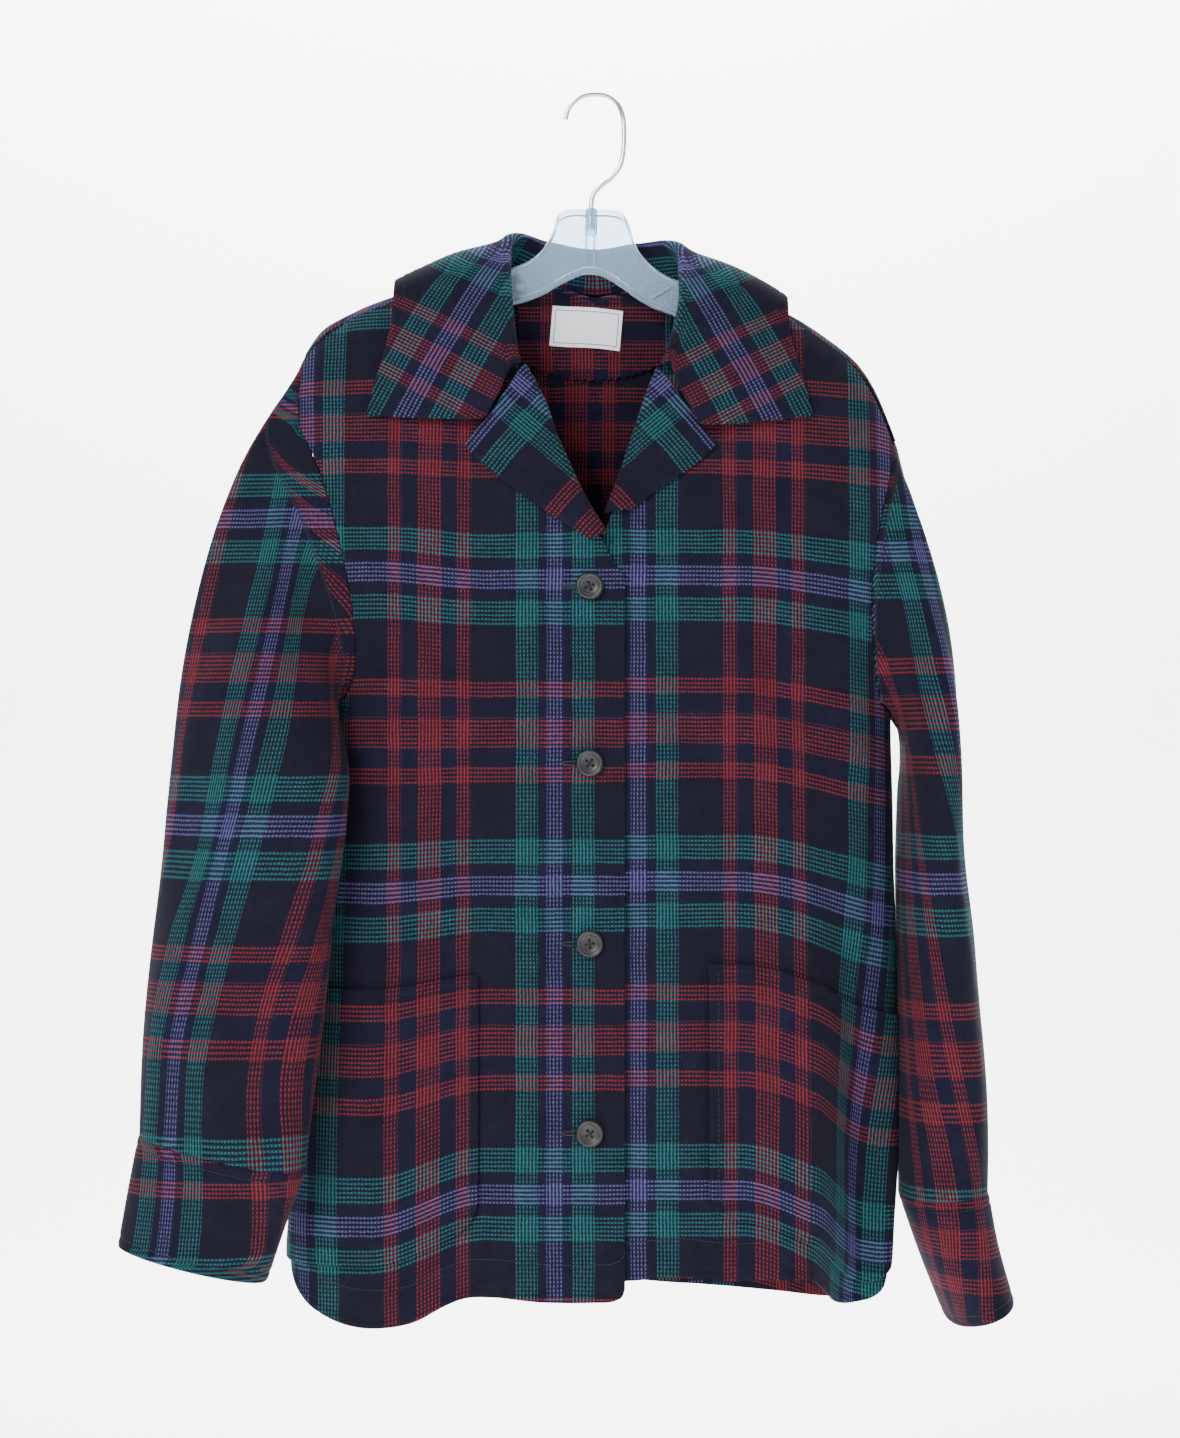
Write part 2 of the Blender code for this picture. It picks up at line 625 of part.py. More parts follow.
def collar_rows(name):
    """One column of the collar tables from the left front end round to the right."""
    k = COLLAR_COLUMNS.index(name)
    values = [row[k] for row in COLLAR[LEFT][::-1]] + [row[k] for row in COLLAR[RIGHT][1:]]
    return hermite(np.arange(len(values)), values, COLLAR_PLACES)


def eased(vectors):
    """Unit vectors along a chain, smoothed a little with their neighbours."""
    for _ in range(4):
        ends = np.concatenate([vectors[:1], vectors, vectors[-1:]])
        vectors = unit(ends[:-2] + 2 * ends[1:-1] + ends[2:])
    return vectors


def fall_lift(fall, way):
    """How far the middle of the collar's fall stands off the body, more over the crest."""
    over = CREST_ROUND * np.exp(-(way / 16) ** 2)
    return COLLAR_WALL / 2 + BASE_GAP + FALL_BULGE * math.sin(math.pi * fall) + over


def collar():
    at = {name: collar_rows(name) for name in COLLAR_COLUMNS}
    neck = np.stack([at["neck_x"], at["neck_w"]], -1)
    edge = np.stack([at["edge_x"], at["edge_w"]], -1)
    ends = {}
    for side in (LEFT, RIGHT):
        points = np.array(COLLAR_END[side], float)
        ends[side] = np.stack([points[:, 0], way_of(ridge(points[:, 0]) - points[:, 1])], -1)
    falls = np.array([0.06, 0.2, 0.36, 0.52, 0.68, 0.84, 1.0])
    shares = COLLAR_PLACES / COLLAR_PLACES[-1]
    leaf = [neck + (edge - neck) * fall for fall in falls]
    for k, place in ((0, LEFT), (-1, RIGHT)):
        pull = np.clip(1 - abs(shares - shares[k]) / END_PULL, 0, 1) ** 2
        for row, fall in zip(leaf, falls):
            row += pull[:, None] * (along(ends[place], fall) - neck[k] - (edge[k] - neck[k]) * fall)
    base = over_shoulder(neck[:, 0], neck[:, 1], COLLAR_WALL / 2 + BASE_GAP)
    fold = np.stack([at["fold_x"], at["fold_y"], at["fold_z"]], -1)
    up = fold - base
    up = eased(up / np.linalg.norm(up, axis=1)[:, None])
    body = over_shoulder(neck[:, 0], neck[:, 1], 10.0) - over_shoulder(neck[:, 0], neck[:, 1], 0.0)
    out = body - (body * up).sum(1)[:, None] * up
    out = eased(out / np.linalg.norm(out, axis=1)[:, None])
    middle = fold - up * FOLD_RADIUS
    strips = [base, (base + middle - out * FOLD_RADIUS) / 2, middle - out * FOLD_RADIUS]
    for turn in (45, 90, 135):
        strips.append(middle + FOLD_RADIUS * (up * math.sin(math.radians(turn))
                                              - out * math.cos(math.radians(turn))))
    strips.append(middle + out * FOLD_RADIUS)
    rise = strips[-1] - over_shoulder(neck[:, 0], neck[:, 1], fall_lift(0.0, neck[:, 1]))
    for row, fall in zip(leaf, falls):
        lift = fall_lift(fall, row[:, 1])
        strips.append(over_shoulder(row[:, 0], row[:, 1], lift) + rise * (1 - fall) ** 2)
    grid = np.array(strips)
    normal = grid_normals(grid) * COLLAR_WALL / 2
    return shell("collar", grid + normal, grid - normal, "wool")


def sleeve_ring(table, z, angle, inset):
    """Points of a sleeve's ring; angle 0 is its outer side, a quarter turn its front."""
    side = np.sign(table[0][1])
    ring = {name: column(table, SLEEVE_COLUMNS, name, z) for name in SLEEVE_COLUMNS[1:]}
    turn = np.radians(ring["turn"])
    outward = np.stack([side * np.cos(turn), np.sin(turn)], -1)
    ahead = np.stack([side * np.sin(turn), -np.cos(turn)], -1)
    wide, deep = (np.sign(a) * abs(a) ** (2 / SLEEVE_POWER) for a in (np.cos(angle), np.sin(angle)))
    wide, deep = wide * (ring["half_width"] - inset), deep * (ring["half_depth"] - inset)
    plan = outward * wide[:, None] + ahead * deep[:, None]
    height = z + ring["dip"] * wide / ring["half_width"]
    return np.stack([ring["x"] + plan[:, 0], ring["y"] + plan[:, 1], height], -1)


def armhole_loop(side):
    """Points just off the panels' edge round the armhole, from the shoulder down the front and
    up the back, with the way the sleeve leaves each, the way into its wall, and its share."""
    front = front_places(side)[SEAM_ROWS - 1:, 0 if side == LEFT else -1][::-1]
    back = back_places()[SEAM_ROWS - 1:, 0 if side == LEFT else -1][1:-1]
    faces = ((FRONT, front), (BACK, back))
    edge = np.concatenate([lifted(face, p[:, 0], p[:, 1], 0.0) for face, p in faces])
    over = np.concatenate([lifted(face, p[:, 0], p[:, 1], 5.0) for face, p in faces])
    normal = unit(over - edge)
    out = unit(np.cross(np.roll(edge, -1, 0) - np.roll(edge, 1, 0), normal)) * -side
    steps = np.linalg.norm(np.diff(edge, axis=0), axis=1)
    way = np.concatenate(([0], np.cumsum(steps)))
    half = len(front) - 1
    share = np.where(np.arange(len(edge)) <= half, way / way[half] / 2,
                     0.5 + (way - way[half]) / (way[-1] + steps[-1] - way[half]) / 2)
    turn = math.pi / 2 * np.exp(-((share - 0.5) / UNDERARM_TURN) ** 2)[:, None]
    leave = out * np.cos(turn) + normal * np.sin(turn)
    inward = out * np.sin(turn) - normal * np.cos(turn)
    return edge + out * SLEEVE_GAP, leave, inward, share


def unit(vectors):
    return vectors / np.linalg.norm(vectors, axis=1)[:, None]


def sleeve(name, side):
    start, leave, inward, share = armhole_loop(side)
    angle = 2 * math.pi * share + math.radians(SLEEVE_SHIFT[side]) * np.sin(math.pi * share) ** 2
    table = SLEEVE[side]
    top_z, end_z = table[0][0], table[-1][0]
    first = sleeve_ring(table, np.full(len(angle), float(top_z)), angle, 0.0)
    second = sleeve_ring(table, np.full(len(angle), top_z - 20.0), angle, 0.0)
    span = np.linalg.norm(first - start, axis=1)[:, None]
    leave = unit(leave * LEAVE_SCALE + LEAVE_DOWN) * span
    arrive = unit(second - first) * span
    outer = [start]
    for u in CAP_ROWS:
        outer.append((1 + 2 * u) * (1 - u) ** 2 * start + u * (1 - u) ** 2 * leave
                     + u * u * (3 - 2 * u) * first + u * u * (u - 1) * arrive)
    outer.append(first)
    inner = list(np.array(outer) - ring_normals(np.array(outer), side) * WALL)
    inner[0] = start + inward * WALL
    inner[-1] = sleeve_ring(table, np.full(len(angle), float(top_z)), angle, WALL)
    for z in np.linspace(top_z, end_z, 7)[1:]:
        outer.append(sleeve_ring(table, np.full(len(angle), z), angle, 0.0))
        inner.append(sleeve_ring(table, np.full(len(angle), z), angle, WALL))
    return shell(name, np.array(outer), np.array(inner), "wool", closed=True)


def ring_normals(grid, side):
    """Outward normals of rings of points that run forwards from their outer side."""
    wrapped = np.concatenate([grid[:, -1:], grid, grid[:, :1]], 1)
    return grid_normals(wrapped)[:, 1:-1] * side


def cuff(name, side):
    angle = np.linspace(0, 2 * math.pi, SLEEVE_SIDES, endpoint=False)
    table = CUFF[side]
    heights = np.linspace(table[0][0] - SEAM, table[-1][0], 5)
    outer, inner = (np.array([sleeve_ring(table, np.full(SLEEVE_SIDES, z), angle, inset)
                              for z in heights]) for inset in (0.0, COLLAR_WALL))
    return shell(name, outer, inner, "wool", closed=True)


def pocket(name, side):
    """Patch pocket with rounded lower corners, its grid squeezed in towards the bottom."""
    low, high = sorted((POCKET_NEAR[side], POCKET_NEAR[side] + side * POCKET_WIDTH))
    panel = front_places(side)
    at_level = [np.interp(POCKET_TOP[side] - POCKET_HEIGHT / 2, c[:, 1], c[:, 0])
                for c in panel.transpose(1, 0, 2)]
    held = [c for c, s in zip(panel.transpose(1, 0, 2), at_level) if low + 4 < s < high - 4]
    down = POCKET_TOP[side] - POCKET_HEIGHT * np.array([1, 0.985, 0.95, 0.89, 0.7, 0.45, 0.2, 0])
    places = np.zeros((len(down), len(held) + 2, 2))
    for i, t in enumerate(down):
        rise = t - down[0]
        inset = 0.0
        if rise < POCKET_CORNER:
            inset = POCKET_CORNER - math.sqrt(POCKET_CORNER ** 2 - (POCKET_CORNER - rise) ** 2)
        level = np.full(len(held), t)
        for _ in range(3):
            s = np.array([np.interp(at, c[:, 1], c[:, 0]) for at, c in zip(level, held)])
            level = t - droop(FRONT, s, np.full(len(s), t))
        steps = np.arange(len(s) + 2) * POCKET_STEP
        s = np.maximum(np.concatenate([[low], s, [high]]), low + inset + steps)
        s = np.minimum(s, high - inset - steps[::-1])
        places[i, :, 0] = s
        places[i, :, 1] = t - droop(FRONT, s, np.full(len(s), t))
    return on_body(name, FRONT, places, WALL + POCKET_GAP[side] + lap(side, places[:, :, 0], places[:, :, 1]))


def back_facing():
    """Neck facing on the inside of the back, its lower edge a shallow curve."""
    neck = {side: np.array(COLLAR[side], float)[:4] for side in (LEFT, RIGHT)}
    x = np.linspace(-FACING_HALF, FACING_HALF, 15)
    neck_x = np.concatenate([neck[LEFT][::-1, 0], neck[RIGHT][1:, 0]])
    neck_w = np.concatenate([neck[LEFT][::-1, 1], neck[RIGHT][1:, 1]])
    top = ridge(x) + CREST_EXTRA + np.interp(x, neck_x, neck_w) - FACING_DROP
    low = level_of(x, FACING_LOW + FACING_RISE * (x / FACING_HALF) ** 2)
    share = np.linspace(0, 1, 6)[:, None]
    level = low + (top - low) * share
    places = np.stack([np.broadcast_to(x - CENTRE_X, level.shape), level], -1)
    return on_body("back_facing", BACK, places, -WALL - FACING_GAP, FACING_WALL)


def label():
    """Blank woven label sewn inside the back neck."""
    across, up = np.meshgrid(np.linspace(-0.5, 0.5, 6), np.linspace(-0.5, 0.5, 4))
    tilt = math.radians(LABEL_TILT)
    x = LABEL_X + across * LABEL_WIDTH * math.cos(tilt) - up * LABEL_HEIGHT * math.sin(tilt)
    z = LABEL_Z + across * LABEL_WIDTH * math.sin(tilt) + up * LABEL_HEIGHT * math.cos(tilt)
    places = np.stack([x - CENTRE_X, level_of(x, z)], -1)
    return on_body("label", BACK, places, -WALL - FACING_GAP - SEAM - FACING_WALL, LABEL_WALL, "label")


def button(number, height):
    """Four-hole button, turned from a profile and standing on the lapped front."""
    lift = lap(LEFT, 0.0, height + BUTTON_WIDTH / 2) + 2 * SEAM
    seat = lifted(FRONT, 0.0, height, lift)[0]
    over = lifted(FRONT, 0.0, height, lift + 10)[0]
    profile = ((0, 0), (0.78, 0), (1, 0.3), (1, 0.7), (0.93, 1), (0.8, 1), (0.7, 0.76), (0, 0.76))
    data = bpy.data.meshes.new("button_profile")
    points = [(r * BUTTON_WIDTH / 2 * MM, 0, h * BUTTON_THICKNESS * MM) for r, h in profile]
    data.from_pydata(points, [(k, k + 1) for k in range(len(points) - 1)], [])
    name = f"button_{number}"
    made = bpy.data.objects.new(name, data)
    PARTS.objects.link(made)
    data.materials.append(MATERIALS["button"])
    turned = made.modifiers.new("turned", "SCREW")
    turned.steps = turned.render_steps = BUTTON_SIDES
    turned.use_merge_vertices = True
    turned.merge_threshold = 0.00001
    holes = made.modifiers.new("holes", "BOOLEAN")
    holes.operation = "DIFFERENCE"
    holes.object = button_cutter(name)
    axis = (over - seat) / np.linalg.norm(over - seat)
    made.rotation_euler = (math.acos(axis[2]), 0, math.atan2(axis[0], -axis[1]))
    made.location = seat * MM
    holes.object.rotation_euler = made.rotation_euler
    holes.object.location = made.location
    return made


def button_cutter(name):
    """Four pins that cut the thread holes."""
    mesh = bmesh.new()
    for k in range(4):
        angle = math.radians(45 + 90 * k + 15)
        pin = bmesh.ops.create_cone(mesh, cap_ends=True, segments=6, radius1=HOLE_RADIUS * MM,
                                    radius2=HOLE_RADIUS * MM, depth=20 * MM)
        shift = (HOLE_CIRCLE * math.cos(angle) * MM, HOLE_CIRCLE * math.sin(angle) * MM, 0)
        bmesh.ops.translate(mesh, verts=pin["verts"], vec=shift)
    data = bpy.data.meshes.new(name + "_holes")
    mesh.to_mesh(data)
    mesh.free()
    made = bpy.data.objects.new(name + "_holes", data)
    CUTTERS.objects.link(made)
    made.hide_render = True
    made.display_type = "WIRE"
    return made


def hanger_stations():
    """Upper and lower edge of the hanger from its left tip to its right tip."""
    arms = {}
    for side in (LEFT, RIGHT):
        x = side * np.array(ARM_STATIONS, float)
        height = np.interp(abs(x), (ARM_STATIONS[0], ARM_STATIONS[-1]), ARM_HEIGHT)
        height[-1] *= 0.8
        top = ridge(x) - WALL - HANGER_GAP
        arms[side] = np.stack([x, top, x, top - height], -1)
    left = np.concatenate([arms[LEFT][::-1], np.array(PLATE[LEFT], float)[::-1]])
    return np.concatenate([left, np.array(PLATE[RIGHT], float), arms[RIGHT]])


def hanger_body():
    """Clear moulded hanger: a web between two rims, with a boss for the hook."""
    mesh = bmesh.new()
    thick, web = HANGER_THICKNESS / 2, WEB_THICKNESS / 2
    half = ((0, 0.45 * thick), (2.4, thick), (4.2, thick), (5.4, web))
    rings = []
    for top_x, top_z, low_x, low_z in hanger_stations():
        length = math.hypot(top_x - low_x, top_z - low_z)
        down = ((low_x - top_x) / length, (low_z - top_z) / length)
        chain = [(d, -y) for d, y in half] + [(length - d, -y) for d, y in half[::-1]]
        chain += [(length - d, y) for d, y in half] + [(d, y) for d, y in half[::-1]]
        rings.append([mesh.verts.new(((top_x + down[0] * d) * MM, y * MM, (top_z + down[1] * d) * MM))
                      for d, y in chain])
    for a, b in zip(rings, rings[1:]):
        for k in range(len(a)):
            j = (k + 1) % len(a)
            mesh.faces.new((a[k], a[j], b[j], b[k]))
    mesh.faces.new(rings[0])
    mesh.faces.new(rings[-1][::-1])
    bmesh.ops.recalc_face_normals(mesh, faces=mesh.faces)
    made = finish("hanger_body", mesh, "plastic")
    for name, operation, radius, top, low in (
            ("boss", "UNION", BOSS_RADIUS, BOSS_TOP, BOSS_LOW),
            ("bore", "DIFFERENCE", WIRE / 2 + SEAM, BOSS_TOP + 8, HOOK[-1][1] - 1)):
        step = made.modifiers.new(name, "BOOLEAN")
        step.operation = operation
        step.object = pillar(name, radius, top, low)
    return made


def pillar(name, radius, top, low):
    mesh = bmesh.new()
    bmesh.ops.create_cone(mesh, cap_ends=True, segments=16, radius1=radius * MM,
                          radius2=radius * MM, depth=(top - low) * MM)
    bmesh.ops.translate(mesh, verts=mesh.verts, vec=(HOOK[-1][0] * MM, 0, (top + low) / 2 * MM))
    data = bpy.data.meshes.new(name)
    mesh.to_mesh(data)
    mesh.free()
    made = bpy.data.objects.new(name, data)
    CUTTERS.objects.link(made)
    made.hide_render = True
    made.display_type = "WIRE"
    return made


def hook():
    """Bent wire, its lower end in the hanger's bore."""
    chain = np.array(HOOK, float)
    places = np.linspace(0, len(chain) - 1, HOOK_POINTS)
    x, z = (hermite(np.arange(len(chain)), chain[:, k], places) for k in (0, 1))
    curve = bpy.data.curves.new("hanger_hook", "CURVE")
    curve.dimensions = "3D"
    spline = curve.splines.new("POLY")
    spline.points.add(HOOK_POINTS - 1)
    for point, px, pz in zip(spline.points, x, z):
        point.co = (px * MM, 0, pz * MM, 1)
    curve.bevel_depth = WIRE / 2 * MM
    curve.bevel_resolution = 2
    curve.use_fill_caps = True
    curve.materials.append(MATERIALS["steel"])
    made = bpy.data.objects.new("hanger_hook", curve)
    PARTS.objects.link(made)
    return made


def clear_scene():
    for item in list(bpy.data.objects):
        bpy.data.objects.remove(item)


def material(name, colour, roughness, metallic):
    made = bpy.data.materials.new(name)
    made.use_nodes = True
    shader = made.node_tree.nodes["Principled BSDF"]
    shader.inputs["Base Color"].default_value = (*colour, 1)
    shader.inputs["Roughness"].default_value = roughness
    shader.inputs["Metallic"].default_value = metallic
    return made


clear_scene()
PARTS = bpy.data.collections.new("wool_shirt_jacket")
bpy.context.scene.collection.children.link(PARTS)
CUTTERS = bpy.data.collections.new("cutters")
bpy.context.scene.collection.children.link(CUTTERS)
MATERIALS = {name: material(name, *values) for name, values in COLOURS.items()}

front_panel("front_right", LEFT)
front_panel("front_left", RIGHT)
back_panel()
lapel("facing_right", LEFT)
lapel("facing_left", RIGHT)
collar()
for piece_side, word in ((LEFT, "right"), (RIGHT, "left")):
    sleeve(f"sleeve_{word}", piece_side)
    cuff(f"cuff_{word}", piece_side)
    pocket(f"pocket_{word}", piece_side)
back_facing()
label()
for count, button_z in enumerate(BUTTON_HEIGHTS, 1):
    button(count, button_z)
hanger_body()
hook()
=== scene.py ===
"""Render scene of a plaid wool shirt jacket on a clear hanger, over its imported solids.

The tables and the cloth functions are in millimetres, as in the part: x to the viewer's
right, y away from the viewer, z up, with the origin inside the top of the hook.
"""
import math

import bmesh
import bpy
import numpy as np
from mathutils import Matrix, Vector


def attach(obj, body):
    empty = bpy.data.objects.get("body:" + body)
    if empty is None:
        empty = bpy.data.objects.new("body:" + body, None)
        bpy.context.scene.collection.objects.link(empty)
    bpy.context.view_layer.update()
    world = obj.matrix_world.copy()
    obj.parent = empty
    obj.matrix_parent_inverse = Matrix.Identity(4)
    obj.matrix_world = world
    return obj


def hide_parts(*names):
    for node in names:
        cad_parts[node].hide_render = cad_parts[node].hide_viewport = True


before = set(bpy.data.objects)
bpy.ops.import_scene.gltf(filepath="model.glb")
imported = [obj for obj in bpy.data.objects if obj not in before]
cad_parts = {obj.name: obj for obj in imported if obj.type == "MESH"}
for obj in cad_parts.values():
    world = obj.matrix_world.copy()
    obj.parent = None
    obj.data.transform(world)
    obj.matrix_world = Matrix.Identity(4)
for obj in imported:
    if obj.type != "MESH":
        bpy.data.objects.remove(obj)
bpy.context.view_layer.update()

# Sides as the viewer sees them, faces of the body, and the wearer's word for each side
LEFT, RIGHT = -1, 1
FRONT, BACK = 1, -1
WEARER = {LEFT: "right", RIGHT: "left"}

# Driving dimensions, mm
MM = 0.001
WALL = 2.0
COLLAR_WALL = 2.6
SEAM = 0.3
CENTRE_X = -3.0
LAP_LIFT = 2.6
LAP_SPARE = 1.0
LAP_EDGE = (-70.0, -34.0)
CREST = 12.4
CREST_EXTRA = 10.0
SHOULDER_SEAM = 10.0
SHOULDER_FADE = (20.0, 60.0)
BUTTON_WIDTH = 18.5
# Share of the half width, and height
BUTTON_PROFILE = (
    (0, 0), (0.74, 0), (0.95, 0.5), (1, 1.3), (1, 2.4), (0.985, 3.1), (0.95, 3.65), (0.9, 3.95),
    (0.84, 4.0), (0.78, 3.9), (0.73, 3.55), (0.69, 3.3), (0.66, 3.28), (0.64, 3.45), (0.61, 3.48),
    (0.58, 3.25), (0.4, 3.05), (0, 2.95),
)
BUTTON_HEIGHTS = (-345.5, -466.7, -590.0, -718.7)
POCKET_WIDTH = 160.0
POCKET_HEIGHT = 175.0
POCKET_CORNER = 22.0
POCKET_LIFT = 1.5
POCKET_NEAR = {LEFT: -76.0, RIGHT: 81.0}
POCKET_TOP = {LEFT: -611.0, RIGHT: -604.0}
LABEL_WIDTH = 50.0
LABEL_HEIGHT = 28.0
LABEL_X = -5.5
LABEL_Z = -158.0
LABEL_TILT = -5.0
LABEL_WALL = 1.0
FACING_WALL = 1.5
FACING_HALF = 54.0
FACING_DROP = 4.0
FACING_GAP = 1.3
FACING_LOW = -196.0
FACING_RISE = 14.0
ROLL_RADIUS = 4.1
ROLL_PUFF = 6.0
PUFF_LEVEL = -302.0
PUFF_LENGTH = 26.0
LAPEL_GAP = {LEFT: 1.6, RIGHT: 0.8}
LAPEL_RETURN = 7.0
LAPEL_BULGE = 2.5
LAPEL_START = 0.03
LAPEL_END = {LEFT: 0.88, RIGHT: 0.8}
END_PULL = 0.16
NECK_TRIM = 2.0
BASE_GAP = 1.0
CREST_ROUND = 7.0
CREST_WIDTH = 16.0
FOLD_RADIUS = 3.4
FALL_BULGE = 4.0
SLEEVE_GAP = 0.7
UNDERARM_TURN = 0.07
LEAVE_SCALE = (0.75, 0.1, 0.75)
LEAVE_DOWN = (0.0, 0.0, -0.6)
SLEEVE_SHIFT = {LEFT: 70.0, RIGHT: 20.0}
CAP_DIP = 0.9
CAP_DIP_WIDTH = 2.4
BUTTON_TURN = (20.0, 52.0, 8.0, 35.0)
THREAD_RADIUS = 0.28
THREAD_TOP = 3.3
HOLE_LENGTH = 25.0
HOLE_CENTRE = -6.5
HOLE_RADIUS = 1.0
HOLE_CIRCLE = 2.5
HANGER_GAP = 4.6
BOSS_RADIUS = 4.2
BOSS_TOP = -78.0
BOSS_LOW = -97.0
BORE_RADIUS = 2.2
RIB_X = (-5.4, 0.2)
RIB_LOW = -119.0
BOSS_SPOT = (-51.8, -133.7)
STRAP = ((39.5, -141.6), (53.0, -133.6))
HANGER_THICKNESS = 7.0
WEB_THICKNESS = 2.6
RIM = 4.2
WIRE = 3.5
EDGE_ROUND = 0.5
ROUND_WIDTH = 1.6
STITCH_IN = 6.5
STITCH_SINK = 0.55
STITCH_WIDTH = 1.3
STITCH_PITCH = 3.4
STITCH_LONG = 2.3
STITCH_THICK = 0.28
HEM_STITCH = 26.0
MOUTH_STITCH = 20.0
CUFF_STITCH = 7.0
PINKING = 2.6
# Step for normals, points up a side seam, half the back's neck, and farther than any edge lies
NORMAL_STEP = 1.5
SEAM_POINTS = 14
NECK_HALF = 79.0
FAR = 1000.0

# Body rings: half widths and depths from the centre line, squareness of the corners,
# and how far the right front steps back beyond its crease
RING_COLUMNS = ("z", "left", "right", "front", "back", "left_power", "right_power", "crease")
RINGS = (
    (-100, 224, 228, 52, 44, 3.0, 3.0, 0.00),
    (-220, 224, 228, 54, 46, 3.0, 3.0, 0.00),
    (-320, 206, 218, 56, 50, 2.8, 2.8, 0.00),
    (-430, 188, 210, 58, 53, 2.7, 2.6, 0.00),
    (-540, 190, 213, 60, 55, 3.2, 2.8, 0.10),
    (-640, 196, 214, 62, 57, 4.0, 3.2, 0.50),
    (-730, 202, 213, 64, 58, 4.6, 4.0, 0.80),
    (-800, 207, 209, 65, 58, 4.8, 4.4, 0.85),
    (-880, 208, 206, 65, 58, 4.8, 4.4, 0.85),
)
BACK_POWER = 3.0
CREASE_X = 147.0
CREASE_WIDTH = 40.0

# Top line of the shoulders, x against z
RIDGE = (
    (-215, -200), (-203, -181), (-192, -167), (-178, -156), (-164, -148), (-150, -143),
    (-132, -137), (-110, -129), (-90, -122), (-70, -115), (-50, -109), (0, -106),
    (50, -113), (70, -121), (90, -130), (110, -139), (127, -147), (144, -156), (158, -165),
    (172, -176), (186, -190), (196, -205), (205, -224), (214, -246),
)

# How far the cloth's level threads hang below level beside the front, by height
DROOP_COLUMNS = ("t", "left", "right")
DROOP = (
    (-150, 0, 0), (-240, -3, 5), (-341, -6, 14), (-450, 0, 20), (-555, 6, 28),
    (-627, 12, 42), (-700, 18, 48), (-763, 22, 52), (-860, 22, 52),
)
DROOP_LEFT = (-70.0, -150.0)
DROOP_RIGHT = (100.0, 235.0)
DROOP_BEHIND = 0.6

# Largest folds of the body, raised towards the outside
FOLD_COLUMNS = ("face", "s", "t", "half_width", "half_length", "lean", "height")
FOLDS = (
    (FRONT, -150, -800, 42, 150, 0.05, 7.0),
    (FRONT, -92, -790, 20, 120, 0.03, -6.0),
    (FRONT, 60, -760, 34, 190, 0.00, 3.0),
    (FRONT, 130, -700, 26, 160, -0.04, 3.5),
    (FRONT, -120, -330, 22, 90, 0.25, 3.0),
    (FRONT, 150, -330, 20, 90, -0.30, -3.5),
    (FRONT, 176, -400, 16, 90, -0.20, 4.5),
    (BACK, -110, -640, 34, 210, 0.05, 7.0),
    (BACK, -30, -680, 26, 170, 0.02, -6.0),
    (BACK, 70, -620, 36, 220, -0.04, 7.0),
    (BACK, 150, -700, 26, 150, -0.03, -5.0),
    (BACK, -130, -320, 22, 110, 0.25, -4.0),
    (BACK, 140, -340, 22, 110, -0.25, -4.0),
)

# Hem, s against z, from the front edge or the left side
HEM_FRONT = {
    LEFT: (
        (24, -824), (22, -830), (16, -833), (2, -834), (-30, -834), (-66, -831), (-84, -832),
        (-100, -838), (-118, -847), (-140, -851), (-165, -849), (-190, -839), (-212, -822), (-238, -800),
    ),
    RIGHT: (
        (-23, -819), (30, -819), (60, -816), (96, -820), (126, -819), (154, -821), (172, -830),
        (190, -840), (212, -844), (232, -838), (252, -824),
    ),
}
HEM_BACK = (
    (-240, -800), (-215, -818), (-180, -834), (-130, -844), (-60, -842), (0, -838),
    (60, -842), (130, -846), (180, -848), (215, -838), (245, -824),
)

# Armholes, x against z on the front and on the back, from the shoulder down
ARMHOLE_FRONT = {
    LEFT: ((-203, -190), (-208, -214), (-205, -235), (-197, -250), (-188, -270), (-180, -298),
           (-173, -326), (-168, -353), (-165, -385), (-167, -405), (-176, -422)),
    RIGHT: ((213, -252), (208, -269), (203, -287), (197, -312), (194, -345), (195, -375),
            (199, -405), (204, -425)),
}
ARMHOLE_BACK = {
    LEFT: ((-203, -184), (-206, -205), (-203, -235), (-196, -270), (-188, -310), (-181, -350),
           (-178, -385), (-180, -412)),
    RIGHT: ((214, -250), (211, -275), (206, -305), (201, -340), (198, -375), (200, -405),
            (205, -425)),
}
UNDERARM = {LEFT: -430.0, RIGHT: -438.0}

# Roll line and neckline of each front, x against z, from the break upwards
BREAK = {LEFT: (21.0, -338.0), RIGHT: (-26.0, -350.0)}
ROLL = {
    LEFT: ((12, -327), (4, -310), (-4, -297), (-13, -280), (-22, -260), (-29, -244), (-37, -221),
           (-44, -206), (-52, -190)),
    RIGHT: ((2, -318), (9, -303), (14, -289), (20, -274), (28, -250), (35, -229), (42, -208),
            (48, -192)),
}
NECKLINE = {
    LEFT: ((-63, -182), (-71, -160), (-77, -138), (-79, -125)),
    RIGHT: ((59, -184), (68, -164), (75, -144), (78, -132)),
}

# Outer edge of each lapel, x against z, from the gorge seam down to the break
LAPEL = {
    LEFT: ((-74, -232), (-89, -248), (-79, -258), (-64, -271), (-44, -286), (-24, -300), (-9, -309),
           (2, -316), (10, -326)),
    RIGHT: ((74, -236), (84, -247), (73, -258), (59, -268), (38, -282), (24, -293), (13, -302), (8, -306)),
}

